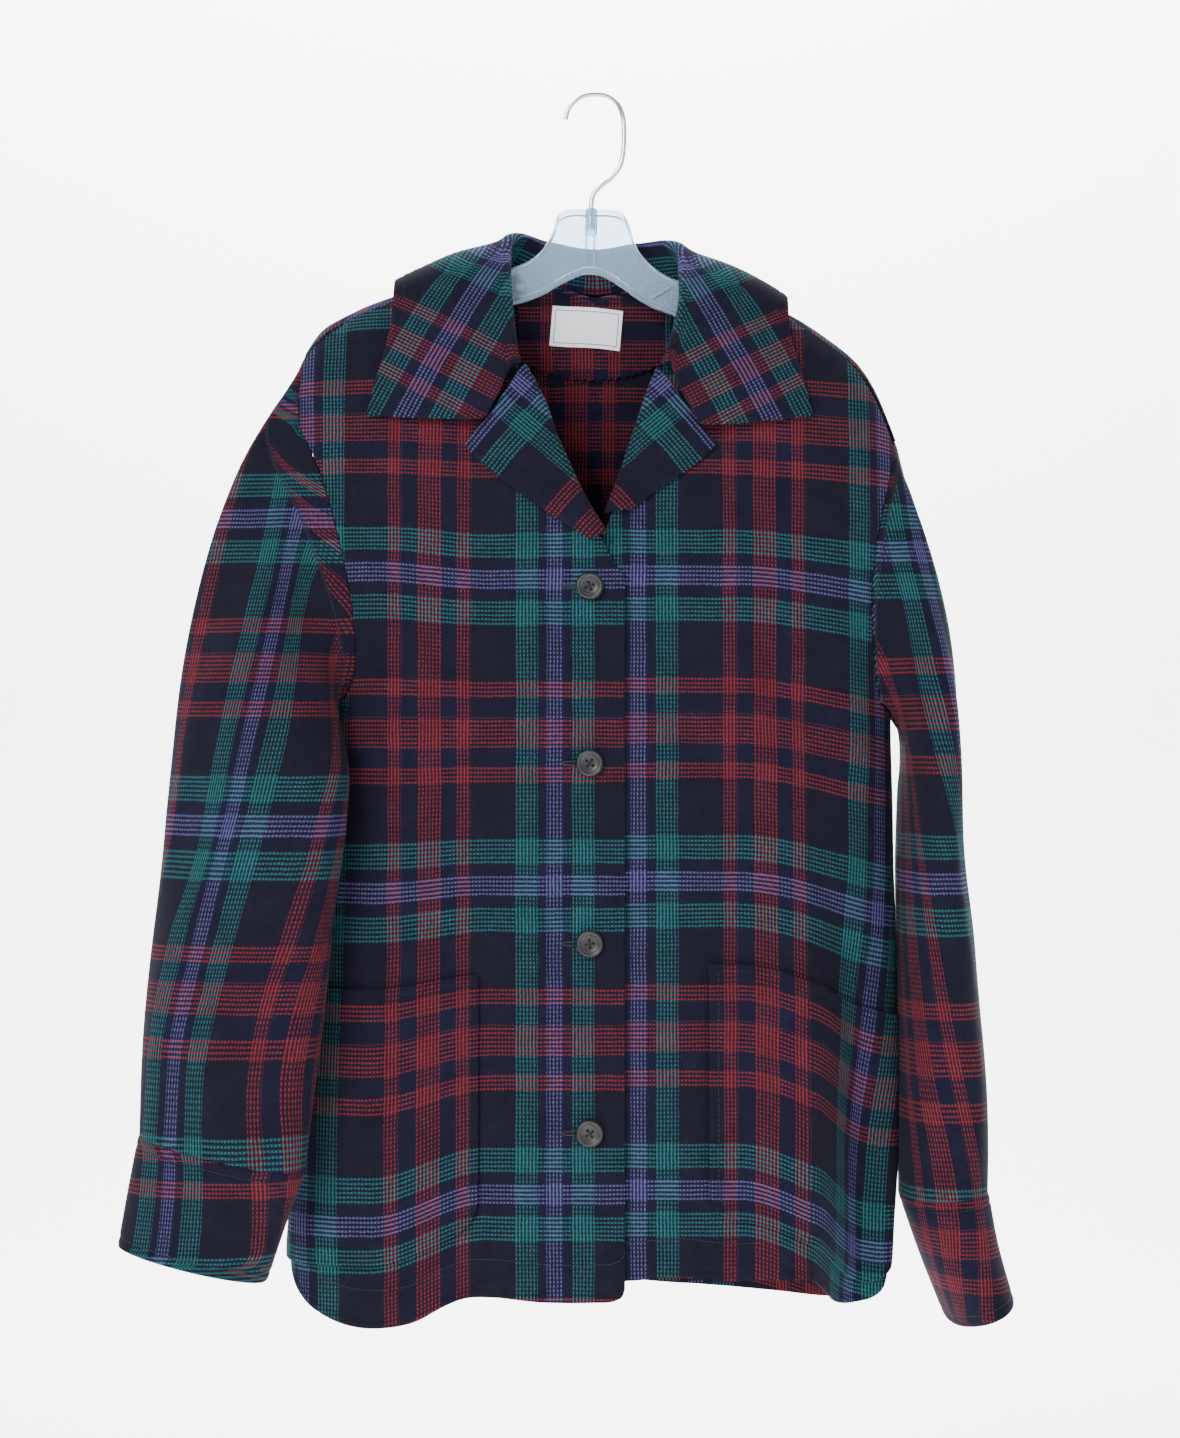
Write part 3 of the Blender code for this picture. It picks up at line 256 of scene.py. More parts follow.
# Collar, from the centre back to each front end: the neck seam and the outer edge by x and
# by distance over the shoulder from its top (towards the front positive), and the fold
COLLAR_COLUMNS = ("neck_x", "neck_w", "fold_x", "fold_y", "fold_z", "edge_x", "edge_w")
COLLAR = {
    LEFT: (
        (0, -38, 0, 30, -104, 0, -84),
        (-40, -26, -32, 26, -99, -62, -80),
        (-70, -4, -56, 7, -96, -118, -46),
        (-78, 16, -59, -11, -122, -136, 2),
        (-74, 42, -57, -24, -151, -142, 36),
        (-66, 72, -54, -36, -177, -150, 66),
        (-59, 92, -52, -42, -190, -157, 90),
    ),
    RIGHT: (
        (0, -38, 0, 30, -104, 0, -84),
        (40, -26, 32, 26, -100, 62, -80),
        (70, -4, 57, 7, -102, 116, -46),
        (77, 14, 60, -11, -127, 131, 2),
        (72, 40, 59, -24, -150, 138, 32),
        (63, 66, 53, -35, -175, 145, 52),
        (55, 84, 48, -41, -191, 151, 74),
    ),
}
# Where the collar's columns stand along its table, closer together over the shoulders
COLLAR_PLACES = np.array((
    0, 0.6, 1.2, 1.8, 2.3, 2.6, 2.85, 3.1, 3.35, 3.6, 3.85, 4.1, 4.4, 4.9, 5.4, 6,
    6.6, 7.1, 7.6, 7.9, 8.15, 8.4, 8.65, 8.9, 9.15, 9.4, 9.7, 10.2, 10.8, 11.4, 12,
))
# Front end of each collar fall, x against z, from the gorge to the corner
COLLAR_END = {
    LEFT: ((-59, -193), (-67, -214), (-76, -232), (-106, -231), (-134, -229), (-157, -227)),
    RIGHT: ((55, -194), (64, -215), (74, -235), (102, -233), (128, -230), (151, -227)),
}

# Sleeve rings below the armhole: centre, half width and depth, turn seen from above in
# degrees, and how much higher the outer side is than the middle
SLEEVE_COLUMNS = ("z", "x", "y", "half_width", "half_depth", "turn", "dip")
SLEEVE = {
    LEFT: (
        (-470, -227, -57, 61, 38, 16, 10),
        (-510, -231, -59, 62, 38, 16, 12),
        (-560, -236, -62, 61, 38, 15, 12),
        (-655, -246, -72, 61, 36, 14, 12),
        (-728, -251, -80, 57, 33, 12, 12),
    ),
    RIGHT: (
        (-480, 234.5, -6, 19.5, 62, 4, 6),
        (-540, 234.5, -6, 22, 62, 4, 6),
        (-600, 237.5, -6, 25.5, 60, 4, 6),
        (-680, 242, -6, 29.5, 54, 4, 4),
        (-765, 243, -8, 29, 44, 10, 2),
    ),
}
CUFF = {
    LEFT: ((-728, -251, -80, 57, 33, 12, 12), (-765, -261, -82, 54, 31, 12, 11),
           (-801, -270, -84, 51, 31, 12, 11)),
    RIGHT: ((-765, 243, -8, 29, 44, 10, 2), (-805, 254, -8, 24, 46, 10, 6),
            (-846, 268, -8, 20, 48, 10, 9)),
}
SLEEVE_POWER = 2.2

# Hanger stations from the centre out: upper and lower edge, x and z
PLATE = {
    LEFT: ((-3, -79, -3, -124), (-18, -79, -9, -125), (-25, -82, -16, -128), (-28, -92, -24, -132),
           (-34, -104, -34, -138), (-44, -114, -46, -143), (-58, -120, -58, -146)),
    RIGHT: ((12, -79, 4, -125), (20, -81, 10, -128), (25, -90, 18, -133), (29, -104, 29, -141),
            (38, -116, 41, -148), (50, -125, 52, -152), (60, -129, 62, -156)),
}
ARM_STATIONS = (76, 94, 112, 130, 146, 160, 172, 181, 186)
ARM_HEIGHT = (24.0, 15.0)
TIP_SHARE = 0.8

# Hook wire, x against z, from its tip
HOOK = (
    (-20, -16), (-18, -9), (-13, -3), (-7, 0.6), (0, 1.75), (9, 0.6), (16, -4.5), (20, -13),
    (21, -24), (20.5, -38), (18, -49), (12, -57), (4, -63), (-1, -70), (-2, -80), (-2, -92),
)


def hermite(xs, ys, at):
    """Smooth curve through table points."""
    xs = np.asarray(xs, float)
    ys = np.asarray(ys, float)
    if xs[0] > xs[-1]:
        xs, ys = xs[::-1], ys[::-1]
    slope = np.gradient(ys, xs)
    at = np.clip(at, xs[0], xs[-1])
    k = np.clip(np.searchsorted(xs, at) - 1, 0, len(xs) - 2)
    span = xs[k + 1] - xs[k]
    u = (at - xs[k]) / span
    first = (1 + 2 * u) * (1 - u) ** 2 * ys[k] + u * (1 - u) ** 2 * span * slope[k]
    return first + u * u * (3 - 2 * u) * ys[k + 1] + u * u * (u - 1) * span * slope[k + 1]


def curve(table, at, k=1):
    """Column k of a table as a smooth function of its first column."""
    rows = np.array(table, float)
    return hermite(rows[:, 0], rows[:, k], at)


def column(table, names, name, at):
    return curve(table, at, names.index(name))


def way_along(points):
    """Distance of each point along its chain."""
    return np.concatenate(([0], np.cumsum(np.linalg.norm(np.diff(points, axis=0), axis=1))))


def along(points, fraction):
    """Points at fractions of the length of a chain of points."""
    points = np.asarray(points, float)
    length = way_along(points)
    return np.stack([np.interp(np.asarray(fraction) * length[-1], length, c) for c in points.T], -1)


def smoothstep(low, high, at):
    """Soft step from 0 at low to 1 at high."""
    u = np.clip((at - low) / (high - low), 0, 1)
    return u * u * (3 - 2 * u)


def ridge(x):
    """Height of the shoulders' top line at x."""
    return curve(RIDGE, x)


# Shoulder crest: a parabola, so that the drop below the crest and the distance over it
# are each a function of the other
CREST_Y = np.linspace(0, 140, 1401)
CREST_DROP = CREST_Y ** 2 / CREST
CREST_SLOPE = 2 * CREST_Y / CREST
CREST_WAY = CREST_Y / 2 * np.sqrt(1 + CREST_SLOPE ** 2) + CREST / 4 * np.arcsinh(CREST_SLOPE)


def way_of(drop):
    """Distance over the shoulder at a drop below its crest."""
    return np.interp(drop, CREST_DROP, CREST_WAY)


def ring_point(angle, z, face):
    """A body ring seen from its middle; angle 0 is the centre of the face."""
    across, ahead = np.sin(angle), np.cos(angle) * face
    right, front = across > 0, ahead > 0
    ring = {name: column(RINGS, RING_COLUMNS, name, z) for name in RING_COLUMNS[1:]}
    wide = np.where(right, ring["right"], ring["left"])
    deep = np.where(front, ring["front"], ring["back"])
    power = np.where(front, np.where(right, ring["right_power"], ring["left_power"]), BACK_POWER)
    radius = ((abs(across) / wide) ** power + (abs(ahead) / deep) ** power) ** (-1 / power)
    x = radius * across
    step = np.where(front, ring["crease"] * smoothstep(CREASE_X, CREASE_X + CREASE_WIDTH, x), 0)
    return CENTRE_X + x, -radius * ahead * (1 - step)


LEVELS = np.arange(-900.0, -79.0, 20.0)
ANGLES = np.linspace(-2.4, 2.4, 481)


def measure_rings():
    """For each face and level, the distance round from the face's centre at each angle."""
    ways = {}
    for face in (FRONT, BACK):
        rows = []
        for z in LEVELS:
            x, y = ring_point(ANGLES, np.full(len(ANGLES), z), face)
            way = way_along(np.stack([x, y], -1))
            rows.append(way - np.interp(0, ANGLES, way))
        ways[face] = np.array(rows)
    return ways


WAYS = measure_rings()


def ring_angle(face, s, z):
    """Angle at the distance s round the ring at the height z."""
    place = np.clip((z - LEVELS[0]) / (LEVELS[1] - LEVELS[0]), 0, len(LEVELS) - 1.001)
    low = place.astype(int)
    angle = np.zeros(len(s))
    for k in np.unique(low):
        here = low == k
        share = place[here] - k
        below = np.interp(s[here], WAYS[face][k], ANGLES)
        above = np.interp(s[here], WAYS[face][k + 1], ANGLES)
        angle[here] = below * (1 - share) + above * share
    return angle


def side_seam(face, side, z):
    """Distance round from the face's centre to the side seam."""
    at_side = [np.interp(side * math.pi / 2, ANGLES, row) for row in WAYS[face]]
    return np.interp(z, LEVELS, at_side)


def surface(face, s, level):
    """Outer side of the body without folds, s round from the centre and level up the cloth."""
    x, y = ring_point(ring_angle(face, s, level), level, face)
    way = ridge(x) + CREST_EXTRA - level
    depth = np.interp(abs(way), CREST_WAY, CREST_Y)
    z = ridge(x) - depth ** 2 / CREST
    ring_depth = abs(y) + 1e-3
    thin = (ring_depth ** -6 + (depth + 1e-3) ** -6) ** (-1 / 6)
    turned = np.where(depth < ring_depth * 0.4, -face, np.sign(y))
    return np.stack([x, np.where(way < 0, face, turned) * thin, z], -1)


def droop(face, s, t):
    """How far a thread that is level in the front's middle hangs lower at s."""
    left = column(DROOP, DROOP_COLUMNS, "left", t) * smoothstep(-DROOP_LEFT[0], -DROOP_LEFT[1], -s)
    right = column(DROOP, DROOP_COLUMNS, "right", t) * smoothstep(*DROOP_RIGHT, s)
    return left + right if face == FRONT else (left + right) * DROOP_BEHIND


def level_of(x, z):
    """Level up the cloth at a place on the front or back given by x and z."""
    return ridge(x) + CREST_EXTRA - way_of(ridge(x) - z)


def at_top(x, way):
    """Places at x and a distance over the shoulder's crest, positive to the back."""
    return np.stack([x - CENTRE_X, ridge(x) + CREST_EXTRA + way], -1)


def cloth(points):
    """Places by x and z as distances s and levels."""
    points = np.array(points, float)
    return np.stack([points[:, 0] - CENTRE_X, level_of(points[:, 0], points[:, 1])], -1)


def coons(low, high, near, far, columns, rows):
    """Grid of places between four edges, given at the fractions of the columns and rows."""
    a = np.asarray(columns)[None, :, None]
    v = np.asarray(rows)[:, None, None]
    low, high, near, far = low[None], high[None], near[:, None], far[:, None]
    corners = (1 - a) * (1 - v) * low[:, :1] + a * (1 - v) * low[:, -1:]
    corners = corners + (1 - a) * v * high[:, :1] + a * v * high[:, -1:]
    return (1 - v) * low + v * high + (1 - a) * near + a * far - corners


def grid_normals(grid):
    """Unit normals of a grid of points, across its columns and up its rows."""
    across = np.gradient(grid, axis=1)
    upward = np.gradient(grid, axis=0)
    normal = np.cross(across, upward)
    return normal / np.linalg.norm(normal, axis=2)[:, :, None]


def share_at(chain, count):
    """Fraction of a chain's length at its point number count - 1."""
    way = way_along(chain)
    return way[count - 1] / way[-1]


def neck_way(x):
    """Distance of the back's neck seam over the shoulder, at x."""
    left, right = (np.array(COLLAR[side], float)[:4, :2] for side in (LEFT, RIGHT))
    return np.interp(x, *np.concatenate([left[::-1], right[1:]]).T)


def front_edges(side):
    """Outer chain (side seam and armhole) and inner chain (edge, roll line, neckline)."""
    hem = HEM_FRONT[side]
    heights = np.linspace(hem[-1][1], UNDERARM[side], SEAM_POINTS)
    seam = np.stack([side_seam(FRONT, side, heights), heights], -1)
    armhole = cloth(ARMHOLE_FRONT[side][::-1])
    armhole[-1] = at_top(ARMHOLE_FRONT[side][0][0], -SHOULDER_SEAM - SEAM)
    outer = np.concatenate([seam, armhole])
    edge = np.array([hem[0], (hem[0][0], BREAK[side][1])])
    neck = cloth(NECKLINE[side])
    neck[-1] = at_top(NECKLINE[side][-1][0], -SHOULDER_SEAM - SEAM)
    inner = np.concatenate([edge, cloth(ROLL[side]), neck])
    return inner, outer


def lap(side, s, level):
    """How far the lapped front stands off the front beneath it, most at the break of the roll."""
    if side == RIGHT:
        return np.zeros(np.shape(s))
    puff = smoothstep(LAP_EDGE[1], 0, s) * np.exp(-((level - PUFF_LEVEL) / PUFF_LENGTH) ** 2)
    return LAP_LIFT * smoothstep(*LAP_EDGE, s) + ROLL_PUFF * puff


def over_shoulder(x, way, lift):
    """Points by x and by the distance over the shoulder's crest, positive to the front."""
    s, level = x - CENTRE_X, ridge(x) + CREST_EXTRA - way
    lapped = np.where(x < 0, lap(LEFT, s, level) + LAP_SPARE, 0) * smoothstep(*SHOULDER_FADE, way)
    return lifted(FRONT, s, level, lift + lapped)


def fall_lift(fall, way):
    """How far the middle of the collar's fall stands off the body, more over the crest."""
    over = CREST_ROUND * np.exp(-(way / CREST_WIDTH) ** 2)
    return COLLAR_WALL / 2 + BASE_GAP + FALL_BULGE * math.sin(math.pi * fall) + over


def sleeve_ring(table, z, angle, inset):
    """Points of a sleeve's ring; angle 0 is its outer side, a quarter turn its front."""
    side = np.sign(table[0][1])
    ring = {name: column(table, SLEEVE_COLUMNS, name, z) for name in SLEEVE_COLUMNS[1:]}
    turn = np.radians(ring["turn"])
    outward = np.stack([side * np.cos(turn), np.sin(turn)], -1)
    ahead = np.stack([side * np.sin(turn), -np.cos(turn)], -1)
    wide, deep = (np.sign(a) * abs(a) ** (2 / SLEEVE_POWER) for a in (np.cos(angle), np.sin(angle)))
    wide, deep = wide * (ring["half_width"] - inset), deep * (ring["half_depth"] - inset)
    plan = outward * wide[:, None] + ahead * deep[:, None]
    height = z + ring["dip"] * wide / ring["half_width"]
    return np.stack([ring["x"] + plan[:, 0], ring["y"] + plan[:, 1], height], -1)


def unit(vectors):
    return vectors / np.linalg.norm(vectors, axis=1)[:, None]


def ring_normals(grid, side):
    """Outward normals of rings of points that run forwards from their outer side."""
    wrapped = np.concatenate([grid[:, -1:], grid, grid[:, :1]], 1)
    return grid_normals(wrapped)[:, 1:-1] * side


def hanger_stations():
    """Upper and lower edge of the hanger from its left tip to its right tip."""
    arms = {}
    for side in (LEFT, RIGHT):
        x = side * np.array(ARM_STATIONS, float)
        height = np.interp(abs(x), (ARM_STATIONS[0], ARM_STATIONS[-1]), ARM_HEIGHT)
        height[-1] *= TIP_SHARE
        top = ridge(x) - WALL - HANGER_GAP
        arms[side] = np.stack([x, top, x, top - height], -1)
    left = np.concatenate([arms[LEFT][::-1], np.array(PLATE[LEFT], float)[::-1]])
    return np.concatenate([left, np.array(PLATE[RIGHT], float), arms[RIGHT]])


# Studio, metres
FLOOR = -1.30
WALL_Y = 3.4
SWEEP = 0.9
STAGE_HALF = 4.0
STAGE_NEAR = -3.2
STAGE_TOP = 3.2
JACKET_MIDDLE = (0, 0, -0.45)
CAMERA_PLACE = (-0.0028, -2.2, -0.4354)
LENS = 78.7

# Collar: the strips at the fold's top and where the fall starts, the half repeat from the
# centre back, and the distance round over which the falls' own threads take over
FOLD_STRIP = 10
FALL_STRIP = 16
HALF_REPEAT = 86.5
COLLAR_BLEND = (44.0, 104.0)
SHOULDER_SLOPE = 0.46
SHOULDER_DROP = 60.0
# Collar threads: where a red bar crosses a violet one in the front view, and their lean
COLLAR_THREADS = {LEFT: ((-107.6, -186.4), 0.497), RIGHT: ((103.2, -194.4), 0.486)}

# The plaid: one repeat of 72 pairs of threads each way, from the middle of the violet bars
WARP_REPEAT = 0.173
WEFT_REPEAT = 0.210
THREADS = 144
SETT_COLUMNS = ("pair", "first", "second")
SETT = (
    (0.0, "navy", "violet"), (2.5, "navy", "navy"), (5.0, "green", "navy"), (11.0, "ground", "ground"),
    (24.0, "red", "navy"), (28.0, "navy", "navy"), (32.5, "red", "navy"), (39.5, "navy", "navy"),
    (44.0, "red", "navy"), (48.0, "ground", "ground"), (61.0, "green", "navy"), (67.0, "navy", "navy"),
    (69.5, "navy", "violet"),
)
PAIRS = THREADS // 2
YARN = {
    "navy": (0.0055, 0.0062, 0.0175),
    "ground": (0.0062, 0.0062, 0.0118),
    "red": (0.170, 0.0170, 0.0160),
    "green": (0.0110, 0.105, 0.103),
    "violet": (0.075, 0.072, 0.190),
}
# Brushed surface: how far yarns mix, how strong the nap is, its colour and its tints
FUZZ = 0.38
NAP = 0.16
NAP_COLOUR = (0.016, 0.016, 0.027)
TINTS = ((0.30, (0.000, 0.000, 0.006, 1)), (0.46, (0.001, 0.001, 0.003, 1)),
         (0.62, (0.003, 0.001, 0.003, 1)), (0.75, (0.005, 0.003, 0.002, 1)))

# Where the violet bars cross on each piece, mm along its own u and v
PHASE = {
    "front_right": (-23.9, -341.0), "front_left": (33.3, -338.0), "back": (-96.9, -339.0),
    "back_facing": (-92.6, -281.0), "pocket_right": (-23.9, -341.0), "pocket_left": (33.3, -338.0),
}
# Sleeve stripes: by height, the x in the front view of one stripe and its place in the repeat
SLEEVE_STRIPE = {
    LEFT: ((-180, -184, 0), (-283, -198, 0), (-401, -222, 0), (-510, -247, 0), (-672, -286, 0),
           (-760, -287, 0), (-860, -295, 0)),
    RIGHT: ((-180, 206, 19.2), (-296, 206, 19.2), (-380, 224, 19.2), (-497, 246, 19.2), (-640, 262, 32),
            (-760, 262, 62.4), (-870, 270, 62.4)),
}
# Sleeve bars: by height in the front view, the place in the repeat from a violet bar
SLEEVE_BARS = {
    LEFT: ((-88, -420), (-298, -210), (-507.8, 0), (-593.6, 75.8), (-621.6, 105), (-656.6, 134),
           (-726.6, 187), (-900, 320)),
    RIGHT: ((-100, -420), (-320.6, -210), (-399.7, -134), (-430.5, -105), (-467.6, -76), (-548, 0),
            (-635.6, 75.8), (-667, 105), (-705.6, 134), (-768.6, 187), (-950, 325)),
}
CUFF_BAR = {LEFT: -825.5, RIGHT: -690.0}
# Levels and angles at which a tube is measured for its cloth coordinates
TUBE_LEVELS = 26
TUBE_ANGLES = 241
# Lapels: a place where violet bars cross, x and z, and the way the lengthwise threads run
LAPEL_THREADS = {LEFT: ((-52.0, -204.6), 0.71), RIGHT: ((48.5, -203.0), 0.71)}

# Folds of the cloth that are too fine for the solids, in the columns of the large ones
CREASES = (
    (FRONT, -168, -720, 10, 70, 0.10, 2.4), (FRONT, -118, -560, 15, 120, 0.10, -2.2),
    (FRONT, -70, -700, 11, 90, -0.05, 1.6), (FRONT, -96, -420, 9, 60, 0.35, 2.2),
    (FRONT, -150, -395, 8, 44, 0.75, -2.6), (FRONT, -132, -440, 7, 40, 0.95, 2.2),
    (FRONT, -48, -455, 10, 80, 0.12, -1.2), (FRONT, -36, -640, 12, 90, -0.06, 1.4),
    (FRONT, 52, -520, 12, 110, -0.05, 1.5), (FRONT, 92, -600, 10, 90, 0.08, -1.8),
    (FRONT, 118, -450, 10, 70, -0.30, 2.2), (FRONT, 152, -440, 8, 50, -0.60, -2.4),
    (FRONT, 100, -330, 14, 50, -0.20, 1.6), (FRONT, 70, -690, 9, 60, 0.04, 1.4),
    (FRONT, 112, -760, 10, 60, -0.06, -1.8), (FRONT, 34, -760, 8, 70, 0.02, 1.0),
    (FRONT, -196, -640, 9, 80, 0.05, -2.0), (FRONT, -60, -250, 22, 30, 0.10, 1.0),
    (BACK, -60, -430, 12, 120, 0.10, 2.4), (BACK, 20, -460, 14, 140, -0.06, -2.2),
    (BACK, 96, -430, 11, 90, -0.20, 2.4), (BACK, 168, -520, 9, 100, -0.05, 2.0),
    (BACK, -168, -520, 10, 100, 0.06, -2.2), (BACK, 40, -760, 12, 70, 0.03, 2.2),
    (BACK, -84, -770, 11, 60, -0.05, -2.0), (BACK, 0, -240, 30, 30, 0.05, 1.2),
    (BACK, -100, -250, 12, 50, 0.45, 1.8), (BACK, 104, -256, 11, 50, -0.50, 1.6),
)
# Ripples: wave lengths round and up, turn and height
RIPPLES = ((61.0, 260.0, 0.4, 0.45), (37.0, 170.0, 1.9, 0.28), (95.0, 120.0, 4.0, 0.35))

# Folds of the sleeves: side, degrees round from the outer side, height, half the turn and
# half the length, lean in degrees a millimetre, and how far it rises
SLEEVE_FOLDS = (
    (LEFT, 80, -300, 20, 90, 0.10, 3.0), (LEFT, 118, -360, 14, 80, -0.10, -3.0),
    (LEFT, 60, -480, 16, 60, 0.20, -3.2), (LEFT, 84, -540, 14, 46, 0.45, 3.0),
    (LEFT, 112, -585, 12, 40, 0.55, -2.6), (LEFT, 52, -620, 16, 60, 0.10, 2.6),
    (LEFT, 92, -690, 14, 50, -0.10, 2.4), (LEFT, 130, -660, 14, 60, 0.00, -2.4),
    (LEFT, 240, -500, 26, 90, 0.10, 3.4), (LEFT, 290, -600, 22, 80, -0.10, -3.0),
    (LEFT, 260, -340, 22, 80, 0.20, 3.0), (LEFT, 10, -400, 18, 110, 0.05, 2.4),
    (RIGHT, 60, -350, 16, 80, 0.10, 2.4), (RIGHT, 96, -420, 14, 60, -0.15, -2.6),
    (RIGHT, 70, -560, 14, 60, 0.20, 2.4), (RIGHT, 100, -640, 12, 50, 0.20, -2.4),
    (RIGHT, 60, -700, 14, 50, -0.10, 2.2), (RIGHT, 250, -480, 24, 90, 0.10, 2.8),
    (RIGHT, 300, -600, 20, 80, -0.10, -2.4), (RIGHT, 20, -470, 18, 90, 0.05, -1.6),
)


def waved(rows, face, s, level):
    """Folds in a table of soft ridges, each along its own lean."""
    height = np.zeros(len(s))
    for row in rows:
        fold = dict(zip(FOLD_COLUMNS, row))
        if fold["face"] == face:
            up = level - fold["t"]
            across = (s - fold["s"] - fold["lean"] * up) / fold["half_width"]
            height += fold["height"] * np.exp(-across ** 2 - (up / fold["half_length"]) ** 4)
    return height


def fold_height(face, s, level):
    """Height of all folds and ripples of the body."""
    height = waved(FOLDS, face, s, level) + waved(CREASES, face, s, level)
    for s_wave, t_wave, turn, rise in RIPPLES:
        height += rise * np.sin(2 * math.pi * (s / s_wave + level / t_wave) + turn + face)
    return height


def lifted(face, s, level, lift):
    """Points on the folded body, raised by lift along its outward normal."""
    s, level, lift = (a.astype(float).ravel() for a in np.broadcast_arrays(s, level, lift))
    across = surface(face, s + NORMAL_STEP, level) - surface(face, s - NORMAL_STEP, level)
    upward = surface(face, s, level + NORMAL_STEP) - surface(face, s, level - NORMAL_STEP)
    normal = np.cross(across, upward) * face
    normal /= np.linalg.norm(normal, axis=1)[:, None]
    return surface(face, s, level) + normal * (lift + fold_height(face, s, level))[:, None]


def shell(name, outer, inner, uv, finish, node, closed=False):
    """Closed wall between two grids of points, with the cloth's own coordinates as its UV map."""
    half = outer.shape[0] * outer.shape[1]
    index = np.arange(half).reshape(outer.shape[:2])
    if closed:
        index = np.concatenate([index, index[:, :1]], 1)
    spot = np.arange(index.size).reshape(index.shape)
    quads, spots = (np.stack([a[:-1, :-1], a[:-1, 1:], a[1:, 1:], a[1:, :-1]], -1).reshape(-1, 4)
                    for a in (index, spot))
    faces, places = [quads, quads[:, ::-1] + half], [spots, spots[:, ::-1]]
    columns = () if closed else (((slice(None), 0), -1), ((slice(None), -1), 1))
    for edge, turn in ((0, 1), (-1, -1), *columns):
        a, b, c, d = index[edge][:-1], index[edge][1:], spot[edge][:-1], spot[edge][1:]
        faces.append(np.stack([a + half, b + half, b, a], 1)[:, ::turn])
        places.append(np.stack([c, d, d, c], 1)[:, ::turn])
    faces, places = np.concatenate(faces), np.concatenate(places)
    points = np.concatenate([outer.reshape(-1, 3), inner.reshape(-1, 3)]) * MM
    a, b, c, d = (points[faces[:, n]] for n in range(4))
    if (np.cross(c - a, d - b) * a).sum() < 0:
        faces, places = faces[:, ::-1], places[:, ::-1]
    data = bpy.data.meshes.new(name)
    data.from_pydata(points, [], faces.tolist())
    layer = data.uv_layers.new(name="cloth")
    layer.data.foreach_set("uv", (uv.reshape(-1, 2)[places.ravel()] * MM).ravel())
    data.shade_smooth()
    data.set_sharp_from_angle(angle=math.radians(55))
    data.materials.append(MATERIALS[finish])
    return placed(name, data, node)


def linked(name, data):
    made = bpy.data.objects.new(name, data)
    bpy.context.scene.collection.objects.link(made)
    return made


def placed(name, data, node):
    """A piece of the part in the scene, in place of its solid where it has one."""
    made = linked(f"{name}_shown" if node else name, data)
    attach(made, "root")
    if node:
        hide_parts(node)
    return made


def edge_way(grid, sides):
    """Distance of each grid point from the nearest of the named edges."""
    ways = [np.full(grid.shape[:2], FAR)]
    for side, axis, turn in (("first", 1, 1), ("last", 1, -1), ("low", 0, 1), ("high", 0, -1)):
        if side in sides:
            lanes = np.moveaxis(grid, axis, 0)[::turn]
            steps = np.linalg.norm(np.diff(lanes, axis=0), axis=2)
            way = np.concatenate([np.zeros((1, lanes.shape[1])), np.cumsum(steps, 0)])[::turn]
            ways.append(way.T if axis else way)
    return np.min(ways, 0)


def sunk(way):
    """How much the outer side drops at a finished edge and along the row of stitches."""
    stitched = STITCH_SINK * np.exp(-((way - STITCH_IN) / STITCH_WIDTH) ** 2)
    return EDGE_ROUND * np.exp(-(way / ROUND_WIDTH) ** 2) + stitched


def near_edges(width, count, first=True, last=True):
    """Fractions of a width with extra ones near its ends, for rounded and stitched edges."""
    close = np.array([0, 0.8, 1.8, 3.2, 4.6, 5.6, 6.5, 7.4, 8.6, 10.5, 13.0]) / width
    parts = [close if first else [0.0]]
    low = close[-1] if first else 0.0
    high = 1 - close[-1] if last else 1.0
    parts.append(np.linspace(low, high, count)[1:-1])
    parts.append(1 - close[::-1] if last else [1.0])
    return np.concatenate(parts)


def cloth_uv(face, places, phase):
    """Cloth coordinates of places on the body, from where the violet bars cross."""
    s, level = places[:, :, 0], places[:, :, 1]
    t = level
    for _ in range(3):
        t = level + droop(face, s, t)
    return np.stack([s - phase[0], t - phase[1]], -1)


def on_body(name, face, places, lift, wall, node, sides, finish="wool", phase=None):
    """A panel of cloth from a fine grid of places on the body, its outer side at lift."""
    s, level = places[:, :, 0], places[:, :, 1]
    lift = np.broadcast_to(lift, s.shape)
    shape = s.shape + (3,)
    way = edge_way(lifted(face, s, level, lift).reshape(shape), sides)
    outer = lifted(face, s, level, lift - sunk(way)).reshape(shape)
    rounded = EDGE_ROUND * 0.6 * np.exp(-(way / ROUND_WIDTH) ** 2)
    inner = lifted(face, s, level, lift - wall + rounded).reshape(shape)
    uv = cloth_uv(face, places, phase or PHASE[node])
    return shell(name, outer, inner, uv, finish, node)


def smooth_chain(points, count):
    """Points of a curve through table points, evenly spaced."""
    points = np.asarray(points, float)
    length = way_along(points)
    at = np.linspace(0, length[-1], count)
    return np.stack([hermite(length, c, at) for c in points.T], -1)


def front_places(side):
    """Fine grid of places of a front, its columns running up from the hem."""
    inner, outer = front_edges(side)
    share = share_at(outer, SEAM_POINTS)
    hem = smooth_chain(np.concatenate([HEM_FRONT[side][:-1], [outer[0]]]), 80)
    inner[0] = hem[0]
    top_x = np.linspace(inner[-1, 0], outer[-1, 0], 30) + CENTRE_X
    top = at_top(top_x, -SHOULDER_SEAM - SEAM)
    columns = near_edges(215.0, 50, last=False)
    rows = np.concatenate([near_edges(380.0, 76, last=False) * share,
                           np.linspace(share, 1, 62)[1:]])
    places = coons(along(hem, columns), along(top, columns), along(inner, rows), along(outer, rows),
                   columns, rows)
    return places[:, ::-1] if side == LEFT else places


def front_panel(name, side):
    """A front, its edge and hem rounded and stitched."""
    places = front_places(side)
    lift = lap(side, places[:, :, 0], places[:, :, 1])
    on_body(name, FRONT, places, lift, WALL, name, ("low", "last" if side == LEFT else "first"))


